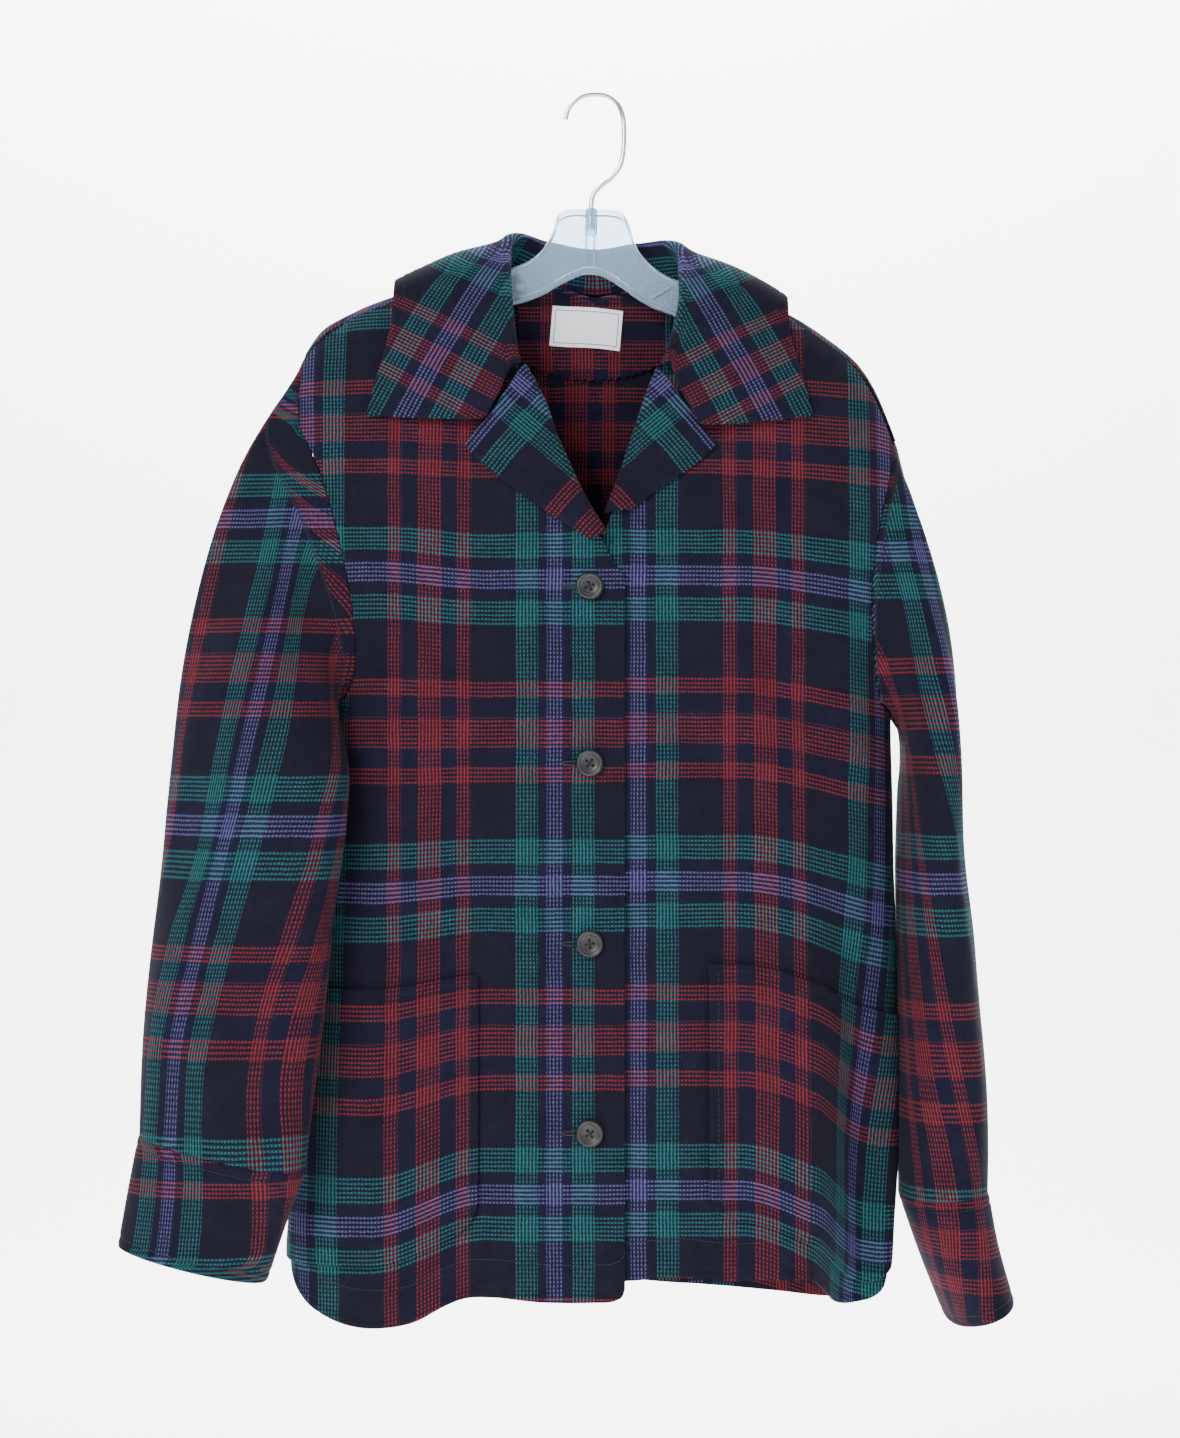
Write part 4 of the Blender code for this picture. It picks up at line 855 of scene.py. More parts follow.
def back_sides():
    """Side and armhole chains of the back, up from the hem."""
    sides = {}
    for side, corner in ((LEFT, HEM_BACK[0]), (RIGHT, HEM_BACK[-1])):
        heights = np.linspace(corner[1], UNDERARM[side], SEAM_POINTS)
        seam = np.stack([side_seam(BACK, side, heights) - side * SEAM, heights], -1)
        armhole = cloth(ARMHOLE_BACK[side][::-1])
        end = at_top(ARMHOLE_BACK[side][0][0], SHOULDER_SEAM)
        sides[side] = np.concatenate([seam, armhole, [end]])
    return sides


def back_places():
    """Fine grid of places of the back, from hem to neck."""
    sides = back_sides()
    hem = smooth_chain(np.concatenate([[sides[LEFT][0]], HEM_BACK[1:-1], [sides[RIGHT][0]]]), 120)
    top_x = np.concatenate([np.linspace(-203, -84, 30), np.linspace(-82, 82, 60), np.linspace(84, 214, 32)])
    over = np.where(abs(top_x) < NECK_HALF, neck_way(top_x) - NECK_TRIM, SHOULDER_SEAM)
    top = at_top(top_x, np.minimum(over, SHOULDER_SEAM))
    share = share_at(sides[LEFT], SEAM_POINTS)
    high = np.concatenate([np.linspace(0, 0.8, 44), np.linspace(0.8, 1, 32)[1:]])
    rows = np.concatenate([near_edges(400.0, 76, last=False) * share, share + (1 - share) * high[1:]])
    other = np.interp(rows, (0, share, 1), (0, share_at(sides[RIGHT], SEAM_POINTS), 1))
    columns = np.linspace(0, 1, 110)
    return coons(along(hem, columns), along(top, columns), along(sides[LEFT], rows),
                 along(sides[RIGHT], other), columns, rows)


def lapel(name, side):
    """The turned facing: a short return inside the front, round the roll, out to its edge."""
    roll = cloth(ROLL[side][::-1])
    edge = cloth(LAPEL[side])
    rows = near_edges(70.0, 40, first=False, last=False)
    start = along(smooth_chain(roll, 60), LAPEL_START + (LAPEL_END[side] - LAPEL_START) * rows)
    end = along(edge, LAPEL_END[side] * rows)
    out = end - start
    width = np.linalg.norm(out, axis=1)[:, None]
    out = out / width
    lifts = [-ROLL_RADIUS * 2] * 3
    steps = [np.minimum(LAPEL_RETURN, width / 2) * share for share in (1, 0.5, 0)]
    for turn in np.linspace(0, math.pi, 11)[1:-1]:
        steps.append(np.full_like(width, -ROLL_RADIUS * math.sin(turn)))
        lifts.append(-ROLL_RADIUS - ROLL_RADIUS * math.cos(turn))
    for share in near_edges(60.0, 14, first=False):
        steps.append(width * share)
        lifts.append(LAPEL_BULGE * math.sin(math.pi * share))
    places = np.stack([start + out * step for step in steps], 1)
    lift = np.array(lifts)[None] + LAPEL_GAP[side] + COLLAR_WALL / 2 + np.zeros(places.shape[:2])
    lift = lift + lap(side, places[:, :, 0], places[:, :, 1])
    middle = lifted(FRONT, places[:, :, 0], places[:, :, 1], lift).reshape(places.shape[:2] + (3,))
    outward = grid_normals(middle) * -side
    way = edge_way(middle, ("last", "low"))
    thick = COLLAR_WALL / 2 - sunk(way)[:, :, None]
    (cross_x, cross_z), turn = LAPEL_THREADS[side]
    x, z = places[:, :, 0] + CENTRE_X - cross_x, places[:, :, 1] - cross_z
    down, over = math.cos(turn), math.sin(turn)
    uv = np.stack([side * x * over - z * down, -side * x * down - z * over], -1)
    return shell(name, middle + outward * thick, middle - outward * COLLAR_WALL / 2, uv, "wool", name)


def collar_rows(name):
    """One column of the collar tables from the left front end round to the right."""
    k = COLLAR_COLUMNS.index(name)
    values = [row[k] for row in (*COLLAR[LEFT][::-1], *COLLAR[RIGHT][1:])]
    return hermite(np.arange(len(values)), values, fine_places())


def fine_places():
    """Places along the collar's table, close together at its ends and over the shoulders."""
    ends = near_edges(200.0, 24, last=False)[:11] * 6
    middle = np.interp(np.linspace(0, 30, 150), np.arange(31), COLLAR_PLACES)
    middle = middle[(middle > ends[-1]) & (middle < 12 - ends[-1])]
    return np.concatenate([ends, middle, 12 - ends[::-1]])


def collar():
    """Folded collar: up the neck, round the fold, and down the fall to its edge."""
    table = np.stack([collar_rows(name) for name in COLLAR_COLUMNS], -1)
    neck, fold, edge = table[:, :2], table[:, 2:5], table[:, 5:]
    ends = {}
    for side in (LEFT, RIGHT):
        points = np.array(COLLAR_END[side], float)
        ends[side] = np.stack([points[:, 0], way_of(ridge(points[:, 0]) - points[:, 1])], -1)
    falls = np.concatenate([np.linspace(0.03, 0.85, 20), near_edges(90.0, 4, first=False)[-11:]])
    falls = np.unique(np.round(falls, 5))
    shares = fine_places() / 12
    leaf = [neck + (edge - neck) * fall for fall in falls]
    for k, place in ((0, LEFT), (-1, RIGHT)):
        pull = np.clip(1 - abs(shares - shares[k]) / END_PULL, 0, 1) ** 2
        for row, fall in zip(leaf, falls):
            row += pull[:, None] * (along(ends[place], fall) - neck[k] - (edge[k] - neck[k]) * fall)
    base = over_shoulder(neck[:, 0], neck[:, 1], COLLAR_WALL / 2 + BASE_GAP)
    up = smooth_along(unit(fold - base))
    body = over_shoulder(neck[:, 0], neck[:, 1], 10.0) - over_shoulder(neck[:, 0], neck[:, 1], 0.0)
    out = smooth_along(unit(body - (body * up).sum(1)[:, None] * up))
    middle = fold - up * FOLD_RADIUS
    low = middle - out * FOLD_RADIUS
    strips = [base + (low - base) * share for share in (0, 0.25, 0.5, 0.75, 1)]
    for turn in np.linspace(0, math.pi, 12)[1:-1]:
        strips.append(middle + FOLD_RADIUS * (up * math.sin(turn) - out * math.cos(turn)))
    strips.append(middle + out * FOLD_RADIUS)
    rise = strips[-1] - over_shoulder(neck[:, 0], neck[:, 1], fall_lift(0.0, neck[:, 1]))
    for row, fall in zip(leaf, falls):
        lift = fall_lift(fall, row[:, 1])
        strips.append(over_shoulder(row[:, 0], row[:, 1], lift) + rise * (1 - fall) ** 2)
    grid = np.array(strips)
    outward = grid_normals(grid)
    way = edge_way(grid, ("first", "last", "high"))
    thick = COLLAR_WALL / 2 - sunk(way)[:, :, None]
    inner = grid - outward * COLLAR_WALL / 2
    return shell("collar", grid + outward * thick, inner, collar_uv(grid), "wool", "collar")


def collar_uv(grid):
    """Cloth coordinates of the collar: round and down the neck behind, and along the threads
    as the front view shows them on its falls."""
    fold_line = grid[FALL_STRIP]
    way = way_along(fold_line)
    round_way = np.broadcast_to(way - way[len(way) // 2], grid.shape[:2])
    down = np.concatenate([np.zeros((1, grid.shape[1])),
                           np.cumsum(np.linalg.norm(np.diff(grid, axis=0), axis=2), 0)])
    u, v = abs(round_way) - HALF_REPEAT, down - down[FOLD_STRIP]
    for side in (LEFT, RIGHT):
        (cross_x, cross_z), lean = COLLAR_THREADS[side]
        ahead = np.array([side * math.sin(lean), -math.cos(lean)])
        strips = np.maximum(np.arange(len(grid)), FALL_STRIP)
        x, z = grid[strips][:, :, 0], grid[strips][:, :, 2]
        drop = np.clip(ridge(x) - z, 0, SHOULDER_DROP)
        spare = way_of(SHOULDER_DROP) - SHOULDER_DROP - way_of(drop) + drop
        x = x + side * spare * math.sin(SHOULDER_SLOPE) - cross_x
        z = z + spare * math.cos(SHOULDER_SLOPE) - cross_z
        front_u = HALF_REPEAT + x * ahead[0] + z * ahead[1]
        front_v = side * (-x * ahead[1] + z * ahead[0]) + down - down[strips]
        share = smoothstep(*COLLAR_BLEND, side * round_way)
        u, v = u + (front_u - u) * share, v + (front_v - v) * share
    return np.stack([u, v], -1)


def smooth_along(vectors):
    """Unit vectors along a chain, smoothed with their neighbours."""
    for _ in range(12):
        ends = np.concatenate([vectors[:1], vectors, vectors[-1:]])
        vectors = unit(ends[:-2] + 2 * ends[1:-1] + ends[2:])
    return vectors


def smooth_round(vectors, times):
    for _ in range(times):
        vectors = (np.roll(vectors, 1, 0) + 2 * vectors + np.roll(vectors, -1, 0)) / 4
    return vectors


def armhole_loop(side):
    """Points just off the panels' edge round the armhole, from the shoulder down the front and
    up the back, with the way the sleeve leaves each, the way into its wall, and its share."""
    shares = np.linspace(0, 1, 62)
    front = along(front_edges(side)[1][SEAM_POINTS - 1:], shares)[::-1]
    back = along(back_sides()[side][SEAM_POINTS - 1:], shares)[1:-1]
    faces = ((FRONT, front), (BACK, back))
    edge = np.concatenate([lifted(face, p[:, 0], p[:, 1], 0.0) for face, p in faces])
    over = np.concatenate([lifted(face, p[:, 0], p[:, 1], 5.0) for face, p in faces])
    normal = unit(smooth_round(unit(over - edge), 4))
    out = unit(np.cross(smooth_round(np.roll(edge, -1, 0) - np.roll(edge, 1, 0), 6), normal)) * -side
    way = way_along(edge)
    half = len(front) - 1
    share = np.where(np.arange(len(edge)) <= half, way / way[half] / 2,
                     0.5 + (way - way[half]) / (2 * way[-1] - way[-2] - way[half]) / 2)
    turn = math.pi / 2 * np.exp(-((share - 0.5) / UNDERARM_TURN) ** 2)[:, None]
    leave = out * np.cos(turn) + normal * np.sin(turn)
    inward = out * np.sin(turn) - normal * np.cos(turn)
    return edge + out * SLEEVE_GAP, leave, inward, share


def sleeve_folds(side, angle, z):
    """Height of the sleeve's folds at an angle round it and a height."""
    height = np.zeros(np.shape(angle))
    for at, turn, middle, half_turn, half_length, lean, rise in SLEEVE_FOLDS:
        if at == side:
            up = z - middle
            across = (np.degrees(angle) - turn - lean * up + 180) % 360 - 180
            height = height + rise * np.exp(-(across / half_turn) ** 2 - (up / half_length) ** 4)
    return height + 0.4 * np.sin(3 * angle + z / 23) + 0.3 * np.sin(5 * angle - z / 31)


def fitted_tube(x, y, z):
    """Levels up a tube, and the middle and half size of its x and y at each, smoothed."""
    levels = np.linspace(z.min(), z.max(), TUBE_LEVELS)
    fit = []
    for level in levels:
        near = abs(z - level) < (levels[1] - levels[0]) * 1.2
        fit.append([(q[near].max() + sign * q[near].min()) / 2 for q in (x, y) for sign in (1, -1)])
    fit = np.array(fit)
    for _ in range(3):
        fit = np.concatenate([fit[:1], (fit[:-2] + 2 * fit[1:-1] + fit[2:]) / 4, fit[-1:]])
    return levels, fit


def tube_uv(grid, side, stripe, bars):
    """Cloth coordinates round and along a sleeve or cuff, as on a smooth tube fitted to it, with
    its stripe and bars where the front view shows them."""
    x, y, z = np.moveaxis(np.concatenate([grid, grid[:, :1]], 1) * (side, -1, 1), -1, 0)
    levels, fit = fitted_tube(x, y, z)
    mid_x, wide, mid_y, deep = (np.interp(z, levels, q) for q in fit.T)
    turn = np.unwrap(np.arctan2((y - mid_y) / deep, (x - mid_x) / wide), axis=1)
    turn -= 2 * math.pi * np.round(turn.mean(1) / (2 * math.pi))[:, None]
    at = np.arccos(np.clip((curve(stripe, z) * side - mid_x) / wide, -1, 1))
    angles = np.linspace(-2 * math.pi, 2 * math.pi, TUBE_ANGLES)
    speeds = [np.hypot(w * np.sin(angles), d * np.cos(angles)) for w, d in fit[:, (1, 3)]]
    arcs = np.array([np.concatenate([[0], np.cumsum(speed[1:])]) for speed in speeds])
    arcs *= angles[1] - angles[0]
    low = np.clip(np.searchsorted(levels, z) - 1, 0, TUBE_LEVELS - 2)
    share = (z - levels[low]) / (levels[1] - levels[0])
    ways = []
    for angle in (turn, at):
        step = (angle - angles[0]) / (angles[1] - angles[0])
        k = np.clip(step.astype(int), 0, TUBE_ANGLES - 2)
        part = step - k
        a, b = (arcs[row, k] * (1 - part) + arcs[row, k + 1] * part for row in (low, low + 1))
        ways.append(a * (1 - share) + b * share)
    return np.stack([ways[0] - ways[1] + curve(stripe, z, 2), -curve(bars, z)], -1)


def sleeve(name, side):
    """A sleeve that leaves its armhole smoothly and runs down its rings."""
    start, leave, inward, share = armhole_loop(side)
    angle = 2 * math.pi * share + math.radians(SLEEVE_SHIFT[side]) * np.sin(math.pi * share) ** 2
    table = SLEEVE[side]
    top_z, end_z = table[0][0], table[-1][0]
    first = sleeve_ring(table, top_z, angle, 0.0)
    second = sleeve_ring(table, top_z - 20.0, angle, 0.0)
    span = np.linalg.norm(first - start, axis=1)[:, None]
    leave = unit(leave * LEAVE_SCALE + LEAVE_DOWN) * span
    arrive = unit(second - first) * span
    outer = []
    for u in np.concatenate([[0, 0.008, 0.02, 0.035], np.linspace(0.055, 1, 60)]):
        outer.append((1 + 2 * u) * (1 - u) ** 2 * start + u * (1 - u) ** 2 * leave
                     + u * u * (3 - 2 * u) * first + u * u * (u - 1) * arrive)
    for z in np.linspace(top_z, end_z, 66)[1:]:
        outer.append(sleeve_ring(table, z, angle, 0.0))
    outer = np.array(outer)
    normals = ring_normals(outer, side)
    height = outer[:, :, 2]
    from_seam = np.linalg.norm(outer - outer[:1], axis=2)
    fade = smoothstep(0, 60, from_seam) * smoothstep(0, 30, height - end_z + 14)
    folds = sleeve_folds(side, np.broadcast_to(angle, height.shape), height) * fade
    seam = CAP_DIP * np.exp(-(from_seam / CAP_DIP_WIDTH) ** 2)
    inner = outer + normals * (folds - WALL)[:, :, None]
    inner[0] = start + inward * WALL
    outer = outer + normals * (folds - seam)[:, :, None]
    outer, inner = (np.roll(rings, outer.shape[1] // 2, axis=1) for rings in (outer, inner))
    uv = tube_uv(outer, side, SLEEVE_STRIPE[side], SLEEVE_BARS[side])
    return shell(name, outer, inner, uv, "wool", name, closed=True)


def cuff(name, side):
    """A cuff of two layers below its sleeve, stitched near both edges."""
    angle = np.linspace(-math.pi, math.pi, 96, endpoint=False)
    table = CUFF[side]
    down = 1 - near_edges(80.0, 16, first=True)
    heights = table[0][0] - SEAM + (table[-1][0] - table[0][0] + SEAM) * down[::-1]
    outer, inner = (np.array([sleeve_ring(table, z, angle, inset) for z in heights])
                    for inset in (0.0, COLLAR_WALL))
    normals = ring_normals(outer, side)
    way = edge_way(outer, ("low", "high"))
    ripple = 0.5 * np.sin(2 * angle + 1) + 0.3 * np.sin(5 * angle)
    outer = outer + normals * (ripple[None] - sunk(way))[:, :, None]
    inner = inner + normals * ripple[None, :, None]
    bar = CUFF_BAR[side]
    uv = tube_uv(outer, side, SLEEVE_STRIPE[side], ((bar - 300, 300), (bar, 0), (bar + 300, -300)))
    return shell(name, outer, inner, uv, "wool", name, closed=True)


def pocket_span(side):
    return sorted((POCKET_NEAR[side], POCKET_NEAR[side] + side * POCKET_WIDTH))


def pocket(name, side):
    """Patch pocket with rounded lower corners, stitched all round but its mouth."""
    low, high = pocket_span(side)
    down = POCKET_TOP[side] - POCKET_HEIGHT * (1 - near_edges(POCKET_HEIGHT, 34))
    across = near_edges(POCKET_WIDTH, 36)
    places = np.zeros((len(down), len(across), 2))
    for i, t in enumerate(down):
        under = max(POCKET_CORNER - (t - down[0]), 0.0)
        inset = POCKET_CORNER - math.sqrt(POCKET_CORNER ** 2 - under ** 2)
        s = low + inset + (high - low - 2 * inset) * across
        places[i, :, 0] = s
        places[i, :, 1] = t - droop(FRONT, s, np.full(len(s), t))
    lift = WALL + POCKET_LIFT + lap(side, places[:, :, 0], places[:, :, 1])
    return on_body(name, FRONT, places, lift, WALL, name, ("first", "last", "low", "high"))


def back_facing():
    """Neck facing on the inside of the back, its lower edge pinked."""
    x = np.linspace(-FACING_HALF, FACING_HALF, 109)
    top = ridge(x) + CREST_EXTRA + neck_way(x) - FACING_DROP
    teeth = PINKING * abs((np.arange(len(x)) % 6) / 3 - 1)
    low = level_of(x, FACING_LOW + FACING_RISE * (x / FACING_HALF) ** 2) + teeth
    share = np.linspace(0, 1, 26)[:, None]
    level = low + (top - low) * share
    places = np.stack([np.broadcast_to(x - CENTRE_X, level.shape), level], -1)
    return on_body("back_facing", BACK, places, -WALL - FACING_GAP, FACING_WALL, "back_facing", ())


def label():
    """Blank woven label sewn inside the back neck, with a plain border woven in."""
    across, up = np.meshgrid(np.linspace(-0.5, 0.5, 41), np.linspace(-0.5, 0.5, 25))
    tilt = math.radians(LABEL_TILT)
    bow = 1.2 * np.sin(5.2 * across + 0.6)
    x = LABEL_X + across * LABEL_WIDTH * math.cos(tilt) - up * LABEL_HEIGHT * math.sin(tilt)
    z = LABEL_Z + across * LABEL_WIDTH * math.sin(tilt) + up * LABEL_HEIGHT * math.cos(tilt) + bow * 0.4
    places = np.stack([x - CENTRE_X, level_of(x, z)], -1)
    lift = -WALL - FACING_GAP - SEAM - FACING_WALL - 0.3 * abs(bow)
    made = on_body("label", BACK, places, lift, LABEL_WALL, "label", (), "label", (0.0, 0.0))
    layer = made.data.uv_layers["cloth"].data
    spots = np.stack([across * LABEL_WIDTH, up * LABEL_HEIGHT], -1).reshape(-1, 2) * MM
    index = np.zeros(len(made.data.loops), int)
    made.data.loops.foreach_get("vertex_index", index)
    layer.foreach_set("uv", spots[index % len(spots)].ravel())


def seat(height):
    """Where a button stands, and its axis."""
    lift = lap(LEFT, 0.0, height + BUTTON_WIDTH / 2) + 2 * SEAM
    low = lifted(FRONT, 0.0, height, lift)[0]
    return low, unit(lifted(FRONT, 0.0, height, lift + 10)[:1] - low)[0]


def bridge(mesh, rings):
    """Faces from each ring of vertices to the next, where a ring may be one point."""
    for a, b in zip(rings, rings[1:]):
        for k in range(max(len(a), len(b))):
            corners = (a[k % len(a)], a[(k + 1) % len(a)], b[(k + 1) % len(b)], b[k % len(b)])
            mesh.faces.new(list(dict.fromkeys(corners)))


def turned(profile, steps):
    """Closed mesh of a profile of radius and height turned about the z axis."""
    mesh = bmesh.new()
    rings = []
    for radius, height in profile:
        if radius == 0:
            rings.append([mesh.verts.new((0, 0, height * MM))])
            continue
        turns = [2 * math.pi * k / steps for k in range(steps)]
        rings.append([mesh.verts.new((radius * math.cos(a) * MM, radius * math.sin(a) * MM, height * MM))
                      for a in turns])
    bridge(mesh, rings)
    bmesh.ops.recalc_face_normals(mesh, faces=mesh.faces)
    return mesh


def from_bmesh(name, mesh, finish, node=None, sharp=40):
    """A piece of the part from a mesh, its edges sharp above an angle in degrees."""
    data = bpy.data.meshes.new(name)
    mesh.to_mesh(data)
    mesh.free()
    data.shade_smooth()
    data.set_sharp_from_angle(angle=math.radians(sharp))
    data.materials.append(MATERIALS[finish])
    return placed(name, data, node)


def rod(mesh, points, radius, sides=8, closed=False):
    """Tube of thread, wire or cord along a chain of points, in millimetres."""
    points = np.asarray(points, float)
    ahead = np.roll(points, -1, 0) - np.roll(points, 1, 0)
    if not closed:
        ahead[0], ahead[-1] = points[1] - points[0], points[-1] - points[-2]
    ahead = unit(ahead)
    side = np.cross(ahead, (0.0, 1.0, 0.0))
    weak = np.linalg.norm(side, axis=1) < 0.2
    side[weak] = np.cross(ahead[weak], (1.0, 0.0, 0.0))
    side = unit(side)
    over = np.cross(side, ahead)
    turns = [2 * math.pi * n / sides for n in range(sides)]
    rings = [[mesh.verts.new((point + radius * (x * math.cos(a) + y * math.sin(a))) * MM) for a in turns]
             for point, x, y in zip(points, side, over)]
    bridge(mesh, rings + rings[:1] if closed else rings)
    if not closed:
        mesh.faces.new(rings[0][::-1])
        mesh.faces.new(rings[-1])


def drill(made, spots):
    """Cut a hole down through a button at each spot."""
    pins = bmesh.new()
    for x, y in spots:
        pin = bmesh.ops.create_cone(pins, cap_ends=True, segments=16, radius1=HOLE_RADIUS * MM,
                                    radius2=HOLE_RADIUS * MM, depth=20 * MM)
        bmesh.ops.translate(pins, verts=pin["verts"], vec=(x * MM, y * MM, 0))
    data = bpy.data.meshes.new("pins")
    pins.to_mesh(data)
    pins.free()
    cutter = linked("pins", data)
    holes = made.modifiers.new("holes", "BOOLEAN")
    holes.object = cutter
    deps = bpy.context.evaluated_depsgraph_get()
    drilled = bpy.data.meshes.new_from_object(made.evaluated_get(deps))
    made.modifiers.clear()
    made.data = drilled
    bpy.data.objects.remove(cutter)


def button(number, height):
    """Four-hole button with a turned rim and groove, sewn on with crossed thread."""
    low, axis = seat(height)
    profile = [(share * BUTTON_WIDTH / 2, rise) for share, rise in BUTTON_PROFILE]
    made = from_bmesh(f"button_{number}", turned(profile, 64), "button", f"button_{number}")
    turns = [math.radians(BUTTON_TURN[number - 1]) + a for a in (0, math.pi / 2, math.pi, 1.5 * math.pi)]
    spots = [(HOLE_CIRCLE * math.cos(a), HOLE_CIRCLE * math.sin(a)) for a in turns]
    drill(made, spots)
    thread = bmesh.new()
    for a, b in ((0, 2), (1, 3)):
        start, end = (np.array([*spots[k], 0.4]) for k in (a, b))
        across = np.array([start[1] - end[1], end[0] - start[0], 0])
        for gap in (-0.35, 0.35):
            shift = across / np.linalg.norm(across) * gap
            path = [start, start + (0, 0, THREAD_TOP - 0.4), (start + end) / 2 + (0, 0, THREAD_TOP - 0.2),
                    end + (0, 0, THREAD_TOP - 0.4), end]
            rod(thread, np.array(path) + shift, THREAD_RADIUS, 6)
    sewn = from_bmesh(f"button_thread_{number}", thread, "thread")
    for piece in (made, sewn):
        piece.rotation_euler = (math.acos(axis[2]), 0, math.atan2(axis[0], -axis[1]))
        piece.location = low * MM


def stitches(name, chains):
    """Rows of short thread stitches along chains of points that lie on the cloth."""
    mesh = bmesh.new()
    for chain in chains:
        way = way_along(chain)
        for start in np.arange(1.0, way[-1] - STITCH_LONG, STITCH_PITCH):
            at = start + np.array([0, 0.5, 1]) * STITCH_LONG
            path = np.stack([np.interp(at, way, c) for c in chain.T], -1)
            rod(mesh, path, STITCH_THICK, 5)
    return from_bmesh(name, mesh, "thread")


def front_stitches(name, side):
    """Topstitching down the front edge and along the hem."""
    places = front_places(side)
    inner = places[:, -1 if side == LEFT else 0]
    level = np.linspace(places[:, :, 1].min() + 30, BREAK[side][1] - 6, 160)
    s = np.interp(level, inner[:, 1], inner[:, 0]) - (STITCH_IN if side == LEFT else -STITCH_IN)
    edge = lifted(FRONT, s, level, lap(side, s, level) + STITCH_THICK * 0.4 - STITCH_SINK)
    hem = places[0]
    s, level = hem[:, 0], hem[:, 1] + HEM_STITCH
    low = lifted(FRONT, s, level, lap(side, s, level) + STITCH_THICK * 0.2)
    return stitches(name, [edge, low])


def pocket_stitches(name, side):
    """Topstitching round a pocket and under its mouth."""
    low, high = pocket_span(side)
    low, high = low + STITCH_IN, high - STITCH_IN
    top, bottom = POCKET_TOP[side] - 1.5, POCKET_TOP[side] - POCKET_HEIGHT + STITCH_IN
    radius = POCKET_CORNER - STITCH_IN
    turn = np.linspace(0, math.pi / 2, 9)
    corner = np.stack([1 - np.cos(turn), 1 - np.sin(turn)], -1) * radius
    left = np.concatenate([[[low, top]], [low, bottom] + corner])
    right = np.concatenate([[high, bottom] + corner[::-1] * [-1, 1], [[high, top]]])
    path = np.concatenate([left, right])
    way = way_along(path)
    s, t = (np.interp(np.arange(0, way[-1], 3.0), way, c) for c in path.T)
    level = t - droop(FRONT, s, t)
    lift = WALL + POCKET_LIFT + lap(side, s, level) + STITCH_THICK * 0.4 - STITCH_SINK
    mouth_s = np.linspace(low - STITCH_IN + 2, high + STITCH_IN - 2, 60)
    mouth_t = np.full(60, POCKET_TOP[side] - MOUTH_STITCH)
    mouth_level = mouth_t - droop(FRONT, mouth_s, mouth_t)
    mouth_lift = WALL + POCKET_LIFT + lap(side, mouth_s, mouth_level) + STITCH_THICK * 0.3
    return stitches(name, [lifted(FRONT, s, level, lift), lifted(FRONT, mouth_s, mouth_level, mouth_lift)])


def ring_stitches(name, side):
    """Topstitching round a cuff, near its two edges."""
    table = CUFF[side]
    angle = np.linspace(0, 2 * math.pi, 200)
    chains = []
    for z in (table[0][0] - CUFF_STITCH, table[-1][0] + CUFF_STITCH):
        chains.append(sleeve_ring(table, z, angle, STITCH_SINK - STITCH_THICK * 1.2))
    return stitches(name, chains)


def buttonholes():
    """Ovals of close thread round each cut, lying on the cloth."""
    mesh = bmesh.new()
    around = np.linspace(0, 2 * math.pi, 40, endpoint=False)
    s = HOLE_CENTRE + np.cos(around) * HOLE_LENGTH / 2
    for height in BUTTON_HEIGHTS:
        level = height + np.sign(np.sin(around)) * abs(np.sin(around)) ** 0.6 * 1.3
        rod(mesh, lifted(FRONT, s, level, 0.25 + lap(LEFT, s, level)), 0.6, 8, closed=True)
    from_bmesh("buttonholes", mesh, "thread")


def hanger_body():
    """Clear moulded hanger: a thin web between rounded rims, with ribs and a boss."""
    mesh = bmesh.new()
    thick, web = HANGER_THICKNESS / 2, WEB_THICKNESS / 2
    half = [(RIM * (1 - math.cos(a)) / 2, max(thick * math.sin(a), 0.3 * thick))
            for a in np.linspace(0.0, math.pi * 0.72, 7)]
    half.append((RIM + 1.0, web))
    stations = np.array(hanger_stations())
    way = way_along(stations[:, :2])
    at = np.linspace(0, way[-1], 150)
    rings = []
    for top_x, top_z, low_x, low_z in np.stack([hermite(way, c, at) for c in stations.T], -1):
        length = math.hypot(top_x - low_x, top_z - low_z)
        down = ((low_x - top_x) / length, (low_z - top_z) / length)
        chain = [(d, -y) for d, y in half] + [(length - d, -y) for d, y in half[::-1]]
        chain += [(length - d, y) for d, y in half] + [(d, y) for d, y in half[::-1]]
        rings.append([mesh.verts.new(((top_x + down[0] * d) * MM, y * MM, (top_z + down[1] * d) * MM))
                      for d, y in chain])
    bridge(mesh, rings)
    mesh.faces.new(rings[0])
    mesh.faces.new(rings[-1][::-1])
    for x in RIB_X:
        rod(mesh, [(x, -2.4, BOSS_LOW), (x - 0.2, -2.4, RIB_LOW)], 0.9, 10)
    rod(mesh, [(BOSS_SPOT[0], -1.0, BOSS_SPOT[1]), (BOSS_SPOT[0], -4.2, BOSS_SPOT[1])], 3.2, 20)
    rod(mesh, [(STRAP[0][0], -2.0, STRAP[0][1]), (STRAP[1][0], -2.0, STRAP[1][1])], 1.0, 8)
    bmesh.ops.recalc_face_normals(mesh, faces=mesh.faces)
    from_bmesh("hanger_body", mesh, "plastic", "hanger_body", 35)
    boss = turned([(0, BOSS_LOW), (BOSS_RADIUS, BOSS_LOW), (BOSS_RADIUS, BOSS_TOP - 1),
                   (BOSS_RADIUS - 1, BOSS_TOP), (BORE_RADIUS, BOSS_TOP), (BORE_RADIUS, BOSS_LOW + 3),
                   (0, BOSS_LOW + 3)], 32)
    bmesh.ops.translate(boss, verts=boss.verts, vec=(HOOK[-1][0] * MM, 0, 0))
    from_bmesh("hanger_boss", boss, "plastic", None, 35)


